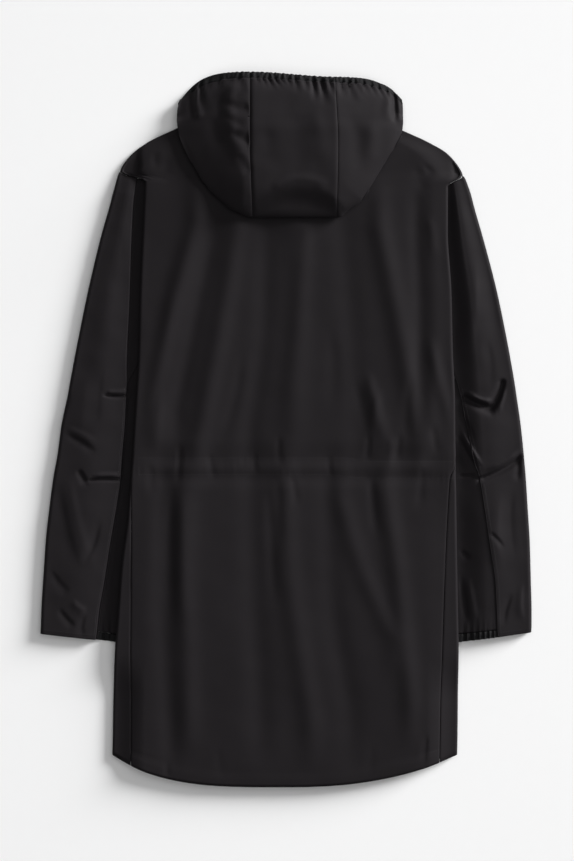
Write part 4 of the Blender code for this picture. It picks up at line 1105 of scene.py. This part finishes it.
def cloth(node, grids, outwards, finish, seams, thickness):
    """A shell of cloth from grids of points, with lengths along the cloth as its UV map.

    Gives the piece, its flat width and length, and its area, in metres.
    """
    points, faces, layers = [], [], []
    offset = 0
    widest = longest = 0.0
    for grid, sides in zip(grids, seams):
        u = laid_lengths(grid, 1)
        v = laid_lengths(grid, 0)
        widest = max(widest, u[:, -1].max())
        longest += np.median(v[-1])
        middle = grid.shape[1] // 2
        faces.append(cells(*u.shape, offset))
        points.append(grooved(grid, u, v, sides, np.array(outwards)).reshape(-1, 3))
        layers.append(np.stack([u - u[:, middle:middle + 1], v], axis=-1).reshape(-1, 2))
        offset += u.size
    faces = np.concatenate(faces)
    layer = np.concatenate(layers) * MM
    data = bpy.data.meshes.new("cloth_" + node)
    data.from_pydata((np.concatenate(points) * MM).tolist(), [], faces.tolist())
    lengths = data.uv_layers.new(name="cloth")
    lengths.data.foreach_set("uv", layer[faces.reshape(-1)].reshape(-1))
    mesh = bmesh.new()
    mesh.from_mesh(data)
    bmesh.ops.remove_doubles(mesh, verts=mesh.verts[:], dist=2e-6)
    bmesh.ops.dissolve_degenerate(mesh, edges=mesh.edges[:], dist=1e-6)
    bmesh.ops.recalc_face_normals(mesh, faces=mesh.faces[:])
    aim = Vector(outwards)
    probe = max(mesh.faces, key=lambda face: face.calc_center_median().dot(aim))
    if probe.normal.dot(aim) < 0:
        bmesh.ops.reverse_faces(mesh, faces=mesh.faces[:])
    area = sum(face.calc_area() for face in mesh.faces)
    mesh.to_mesh(data)
    mesh.free()
    data.shade_smooth()
    data.materials.append(finish)
    piece = put_in("cloth_" + node, data)
    wall = piece.modifiers.new("wall", "SOLIDIFY")
    wall.thickness = thickness * MM
    wall.offset = -1.0
    wall.use_rim = True
    bpy.ops.object.select_all(action="DESELECT")
    piece.select_set(True)
    bpy.context.view_layer.objects.active = piece
    bpy.ops.object.modifier_apply(modifier=wall.name)
    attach(piece, "jacket")
    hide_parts(node)
    width = widest * MM
    length = longest * MM
    if area > width * length:
        length = area / width
    least = LEAST_FILLED * width * length
    return piece, (width, length), max(min(area, width * length), least)


# ---------------------------------------------------------------- thread and teeth
STITCH_PITCH = 3.3
THREAD = 0.34           # radius of a stitch
STITCH_SINK = 0.12
WAIST_ENDS = (-207, 231)
HEM_ENDS = (-213, 216)
SEAM_STITCH = 4.5       # from a sleeve's seam to its row of stitching
TOOTH_PITCH = 3.0
TOOTH_OUT = 1.55        # from the centre front to a tooth's middle
TOOTH_SINK = 0.2
TEETH_TOP = 431.0


def edit_new(kind, stretch, **sizes):
    """Adds a small model and stretches it, still in edit mode with all selected."""
    bpy.ops.object.select_all(action="DESELECT")
    getattr(bpy.ops.mesh, "primitive_" + kind + "_add")(**sizes)
    bpy.ops.object.mode_set(mode="EDIT")
    bpy.ops.mesh.select_all(action="SELECT")
    bpy.ops.transform.resize(value=stretch)
    return bpy.context.object


def model_stitch():
    """One stitch of thread: a slim rounded bead along X, made once and copied."""
    bead = edit_new("uv_sphere", (3.1, 1.0, 0.8), segments=6, ring_count=4, radius=THREAD)
    bpy.ops.object.mode_set(mode="OBJECT")
    return bead


def model_tooth():
    """One moulded zip tooth on its tape, pointing along X, made once and copied."""
    tooth = edit_new("cube", (2.4, 1.6, 2.0), size=1.0)
    mesh = bmesh.from_edit_mesh(tooth.data)
    bpy.ops.mesh.select_all(action="DESELECT")
    for face in mesh.faces:
        if face.normal.x > 0.9:
            face.select = True
    bmesh.update_edit_mesh(tooth.data)
    bpy.ops.mesh.extrude_region_move(TRANSFORM_OT_translate={"value": (0.9, 0, 0)})
    bpy.ops.transform.resize(value=(1.0, 0.62, 0.7))
    bpy.ops.mesh.select_all(action="SELECT")
    bpy.ops.mesh.bevel(offset=0.22, segments=1)
    bpy.ops.object.mode_set(mode="OBJECT")
    return tooth


def copy_along(name, model, places, headings, finish):
    """Copies a small model to many places as one piece, upright and turned to its heading."""
    base = np.array([vert.co[:] for vert in model.data.vertices])
    polygons = [list(face.vertices) for face in model.data.polygons]
    heading = headings / np.linalg.norm(headings, axis=1, keepdims=True)
    beside = np.cross([0.0, 0.0, 1.0], heading)
    beside /= np.linalg.norm(beside, axis=1, keepdims=True)
    top = np.cross(heading, beside)
    points = (places[:, None] + base[None, :, 0:1] * heading[:, None]
              + base[None, :, 1:2] * beside[:, None] + base[None, :, 2:3] * top[:, None])
    faces = [[i + k * len(base) for i in face] for k in range(len(places)) for face in polygons]
    data = bpy.data.meshes.new(name)
    data.from_pydata((points.reshape(-1, 3) * MM).tolist(), [], faces)
    data.shade_smooth()
    data.materials.append(finish)
    piece = put_in(name, data)
    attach(piece, "jacket")


def on_back(xs, ys):
    """A line over the back's face."""
    line = resample(np.stack([xs, ys, 0 * xs], axis=1), 1.0)
    line[:, 2] = back_top(line[:, 0], line[:, 1])
    return line


def sew(thread, elastic):
    """Rows of stitches at the waist, the hem, the sleeves and the hood's elastic."""
    stitch = model_stitch()

    def row(name, lines, finish=thread, slot="softshell", sink=STITCH_SINK):
        even = [resample(line, STITCH_PITCH) for line in lines]
        places = np.concatenate([(line[1:] + line[:-1]) / 2 for line in even])
        headings = np.concatenate([line[1:] - line[:-1] for line in even])
        copy_along("stitching_" + name, stitch, places - np.array([0, 0, sink]), headings,
                   finish)

    xs = np.linspace(*WAIST_ENDS, 90)
    row("waist", [on_back(xs, waist_up(xs)), on_back(xs + 1.5, waist_low(xs + 1.5))])
    xs = np.linspace(*HEM_ENDS, 120)
    row("hem", [on_back(xs, hem_y(xs) + HEM_STITCH)])
    for arm in (ARM_LEFT, ARM_RIGHT):
        cuff = np.full((60, 1), CUFF_STITCH - 0.4)
        x = mix(arm.seam(cuff) + 1.5, arm.round_start(cuff), np.linspace(0.02, 1, 60)[:, None])
        seam = np.linspace(UNDER_ROW + 1.4, 15.6, 160)[:, None]
        row("sleeve_" + arm.side.word,
            [arm.upper(cuff, x)[:, 0], arm.upper(seam, arm.seam(seam) + SEAM_STITCH)[:, 0]])
    ring = mix(opening_ring(1), opening_ring(1.6), 0.35)
    row("hood", [ring[ring[:, 2] > BAND_LOW + 4]], elastic, "elastic", 0.5)
    bpy.data.objects.remove(stitch)


def set_teeth(finish):
    tooth = model_tooth()
    low = BODY[-1].y_mid + FRONT_HEM_DROP + 8
    for side, shift in ((LEFT, 0.0), (RIGHT, TOOTH_PITCH / 2)):
        y = np.arange(low + shift, TEETH_TOP, TOOTH_PITCH)
        x = centre_front(y) + side.sign * TOOTH_OUT
        places = np.stack([x, y, zip_rise(x, y) + TAPE_Z - TOOTH_SINK], axis=1)
        headings = np.tile([-side.sign * 1.0, 0.0, 0.0], (len(y), 1))
        copy_along("teeth_" + side.word, tooth, places, headings, finish)
    bpy.data.objects.remove(tooth)


# ---------------------------------------------------------------- finishes
def maths(operation, reflected=False):
    def apply(self, other):
        a, b = (other, self) if reflected else (self, other)
        return self.shade.node("Math", {"operation": operation}, {0: a, 1: b})
    return apply


class Value:
    """A shader socket that takes sums and products."""

    def __init__(self, shade, socket):
        self.shade = shade
        self.socket = socket

    __add__, __radd__ = maths("ADD"), maths("ADD", True)
    __mul__, __rmul__ = maths("MULTIPLY"), maths("MULTIPLY", True)


class Shade:
    """A material and its nodes."""

    def __init__(self, name):
        self.material = bpy.data.materials.new(name)
        self.material.use_nodes = True
        self.tree = self.material.node_tree
        self.surface = self.tree.nodes["Principled BSDF"]

    def node(self, kind, settings, values, output=0):
        made = self.tree.nodes.new("ShaderNode" + kind)
        for key, value in settings.items():
            setattr(made, key, value)
        for key, value in values.items():
            self.put(made.inputs[key], value)
        return Value(self, made.outputs[output])

    def put(self, socket, value):
        if isinstance(value, Value):
            self.tree.links.new(value.socket, socket)
        else:
            socket.default_value = value

    def lengths(self):
        """Lengths along the cloth."""
        return self.node("TexCoord", {}, {}, output=2)

    def place(self):
        return self.node("TexCoord", {}, {}, output=3)

    def noise(self, place, scale, detail=3.0, roughness=0.5):
        return self.node("TexNoise", {}, {"Vector": place, "Scale": scale, "Detail": detail,
                                          "Roughness": roughness})

    def wave(self, direction, values):
        return self.node("TexWave", {"wave_type": "BANDS", "bands_direction": direction},
                         values, output=1)

    def colour(self, factor, low, high):
        return self.node("Mix", {"data_type": "RGBA"},
                         {0: factor, 6: (*low, 1), 7: (*high, 1)}, output=2)

    def set(self, **values):
        for key, value in values.items():
            self.put(self.surface.inputs[key.replace("_", " ")], value)

    def bump(self, height, strength, distance):
        self.set(Normal=self.node("Bump", {}, {"Height": height, "Strength": strength,
                                               "Distance": distance}))


def softshell_cloth():
    """Matt black bonded cloth: a fine twill face with a faint mottle and a soft sheen."""
    shade = Shade("softshell_cloth")
    along = shade.lengths()
    place = shade.place()
    twill = shade.wave("DIAGONAL", {"Vector": along, "Scale": 420.0, "Distortion": 1.2,
                                    "Detail": 2.0, "Detail Scale": 3.0})
    fibre = shade.noise(along, 1900.0, 2.0)
    tone = shade.noise(place, 26.0, 4.0, 0.55) * 0.6 + shade.noise(place, 7.0, 2.0) * 0.4
    grain = tone * 0.75 + fibre * 0.15 + twill * 0.1
    shade.set(Base_Color=shade.colour(grain, (0.0086, 0.0071, 0.0083), (0.0126, 0.0107, 0.0122)),
              Roughness=0.66 + tone * 0.12, Sheen_Weight=0.03, Sheen_Roughness=0.45,
              Sheen_Tint=(0.75, 0.74, 0.8, 1), Specular_IOR_Level=0.12)
    shade.bump(twill * 0.6 + fibre * 0.4, 0.35, 0.0003)
    return shade.material


def gathered_elastic():
    """Woven elastic with ribs across its length."""
    shade = Shade("gathered_elastic")
    along = shade.lengths()
    ribs = shade.wave("X", {"Vector": along, "Scale": 160.0, "Distortion": 0.6})
    fuzz = shade.noise(along, 900.0)
    tone = ribs * 0.5 + fuzz * 0.5
    shade.set(Base_Color=shade.colour(tone, (0.0035, 0.0035, 0.004), (0.0095, 0.009, 0.010)),
              Roughness=0.66 + fuzz * 0.14, Specular_IOR_Level=0.15)
    shade.bump(ribs * 0.8 + fuzz * 0.2, 0.5, 0.0004)
    return shade.material


def woven_tape():
    """Zip tape in a herringbone weave."""
    shade = Shade("woven_tape")
    along = shade.lengths()
    across_tape = shade.node("Math", {"operation": "PINGPONG"},
                             {0: shade.node("SeparateXYZ", {}, {0: along}), 1: 0.003})
    run = shade.node("SeparateXYZ", {}, {0: along}, output=1)
    weave = shade.node("Math", {"operation": "SINE"}, {0: (across_tape + run) * 5200.0})
    fuzz = shade.noise(along, 1200.0)
    tone = weave * 0.25 + 0.25 + fuzz * 0.5
    shade.set(Base_Color=shade.colour(tone, (0.006, 0.006, 0.007), (0.018, 0.018, 0.020)),
              Roughness=0.68 + fuzz * 0.1)
    shade.bump(weave * 0.6 + fuzz * 0.4, 0.45, 0.0003)
    return shade.material


def speckled(name, scale, detail, dark, light, rough, spread):
    """A finish with one fine noise in its colour and its roughness."""
    shade = Shade(name)
    speck = shade.noise(shade.place(), scale, detail)
    shade.set(Base_Color=shade.colour(speck, dark, light), Roughness=rough + speck * spread)
    return shade.material


def sewing_thread():
    """Spun polyester thread, a little lighter than the cloth."""
    return speckled("sewing_thread", 2600.0, 1.0, (0.013, 0.012, 0.0135),
                    (0.028, 0.026, 0.029), 0.48, 0.12)


def moulded_teeth():
    """Moulded black zip teeth with a faint flow mark."""
    return speckled("moulded_teeth", 700.0, 2.0, (0.009, 0.009, 0.010),
                    (0.018, 0.018, 0.019), 0.3, 0.18)


def black_paint():
    """Satin black paint over metal, rubbed paler in small spots."""
    shade = Shade("black_paint")
    place = shade.place()
    cloud = shade.noise(place, 240.0, 3.0)
    rub = shade.node("MapRange", {}, {"Value": shade.noise(place, 900.0, 4.0),
                                      "From Min": 0.62, "From Max": 0.74})
    shade.set(Base_Color=shade.colour(rub * 0.6, (0.012, 0.012, 0.013), (0.11, 0.11, 0.115)),
              Roughness=0.28 + cloud * 0.22, Metallic=rub * 0.4 + 0.5)
    shade.bump(cloud, 0.12, 0.0002)
    return shade.material


def pale_floor():
    shade = Shade("pale_floor")
    paper = shade.noise(shade.place(), 60.0, 3.0)
    shade.set(Base_Color=shade.colour(paper, (0.895, 0.895, 0.897), (0.905, 0.905, 0.907)),
              Roughness=0.85, Specular_IOR_Level=0.1)
    return shade.material


# ---------------------------------------------------------------- stage, light and camera
SUN_STRENGTH = 6.95
SUN_ANGLE = 24          # degrees across, for soft shadows
SUN_FROM = (0.82, 0.51, 0.262)
LAMP_PLACE = Vector((0.9, 0.4, 2.6))
LAMP_SIZE = (3.8, 4.0)
LAMP_WATTS = 42.0
SKY_STRENGTH = 0.125
FRAME_HEIGHT = 1.197    # metres of the floor that the photograph's frame takes in
FRAME_CENTRE = Vector((0.0014, -0.0007, 0.01))
CAMERA_LENS = 85.0
CAMERA_SENSOR = 36.0


def lay_floor():
    bpy.ops.object.select_all(action="DESELECT")
    bpy.ops.mesh.primitive_plane_add(size=9.0, location=(0, 0, -0.0004))
    floor = bpy.context.object
    floor.name = "floor"
    floor.data.materials.append(pale_floor())


def light_and_camera():
    sun = bpy.data.lights.new("key", "SUN")
    sun.energy = SUN_STRENGTH
    sun.angle = math.radians(SUN_ANGLE)
    put_in("key", sun).rotation_euler = Vector(SUN_FROM).to_track_quat("Z", "Y").to_euler()
    lamp = bpy.data.lights.new("top", "AREA")
    lamp.shape = "RECTANGLE"
    lamp.size, lamp.size_y = LAMP_SIZE
    lamp.energy = LAMP_WATTS
    hung = put_in("top", lamp)
    hung.location = LAMP_PLACE
    hung.rotation_euler = Vector((0, 0, -1)).to_track_quat("-Z", "Y").to_euler()
    world = bpy.data.worlds.new("studio")
    world.use_nodes = True
    background = world.node_tree.nodes["Background"]
    background.inputs["Color"].default_value = (1.0, 1.0, 1.0, 1)
    background.inputs["Strength"].default_value = SKY_STRENGTH
    bpy.context.scene.world = world
    bpy.context.scene.view_settings.view_transform = "Standard"
    data = bpy.data.cameras.new("camera")
    data.lens = CAMERA_LENS
    data.sensor_fit = "VERTICAL"
    data.sensor_height = CAMERA_SENSOR
    camera = put_in("camera", data)
    away = FRAME_HEIGHT * CAMERA_LENS / CAMERA_SENSOR
    camera.location = FRAME_CENTRE + Vector((0, 0, away))
    bpy.context.scene.camera = camera


# ---------------------------------------------------------------- making the jacket
def make_cloth(softshell, elastic, tape):
    made = {}

    def add(node, grids, outwards, finish=softshell, seams=((),),
            thickness=CLOTH, rests_on=()):
        piece, flat, area = cloth(node, grids, outwards, finish, seams, thickness)
        made[node] = (piece, flat, area, list(rests_on))
        return piece

    up = (0, 0, 1)
    down = (0, 0, -1)
    add("back", [back_grid()], up, seams=[("first", "last", "top")],
        rests_on=["cloth_front_left", "cloth_front_right"])
    for arm in (ARM_LEFT, ARM_RIGHT):
        side = arm.side
        word = "_" + side.word
        add("front" + word, [front_grid(side)], down, seams=[("first", "top")])
        add("sleeve_upper" + word, sleeve_upper(arm), up, seams=[(), ("first", "last")])
        add("sleeve_under" + word, sleeve_under(arm), down, seams=[("first", "last", "end")])
        add("cuff_elastic" + word, cuff_band(arm), down, elastic, [("top",)], ELASTIC)
        add("hood_side" + word, hood_side(side), up,
            seams=[("first", "top"), ("first", "last")], rests_on=["cloth_back"])
        add("zip_tape" + word, zip_tape(side), down, tape, thickness=TAPE)
    add("hood_centre", hood_centre(), up, rests_on=["cloth_back"])
    band = add("hood_elastic", opening_band(), up, elastic, thickness=ELASTIC)
    made.pop("hood_elastic")    # too narrow for a sheet, and sewn to the middle panel


def main():
    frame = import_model()
    softshell = softshell_cloth()
    elastic = gathered_elastic()
    make_cloth(softshell, elastic, woven_tape())
    sew(sewing_thread(), elastic)
    set_teeth(moulded_teeth())
    paint = black_paint()
    for node in ("zip_slider", "zip_pull"):
        frame["nodes"][node].data.materials.clear()
        frame["nodes"][node].data.materials.append(paint)
    lay_floor()
    light_and_camera()


main()
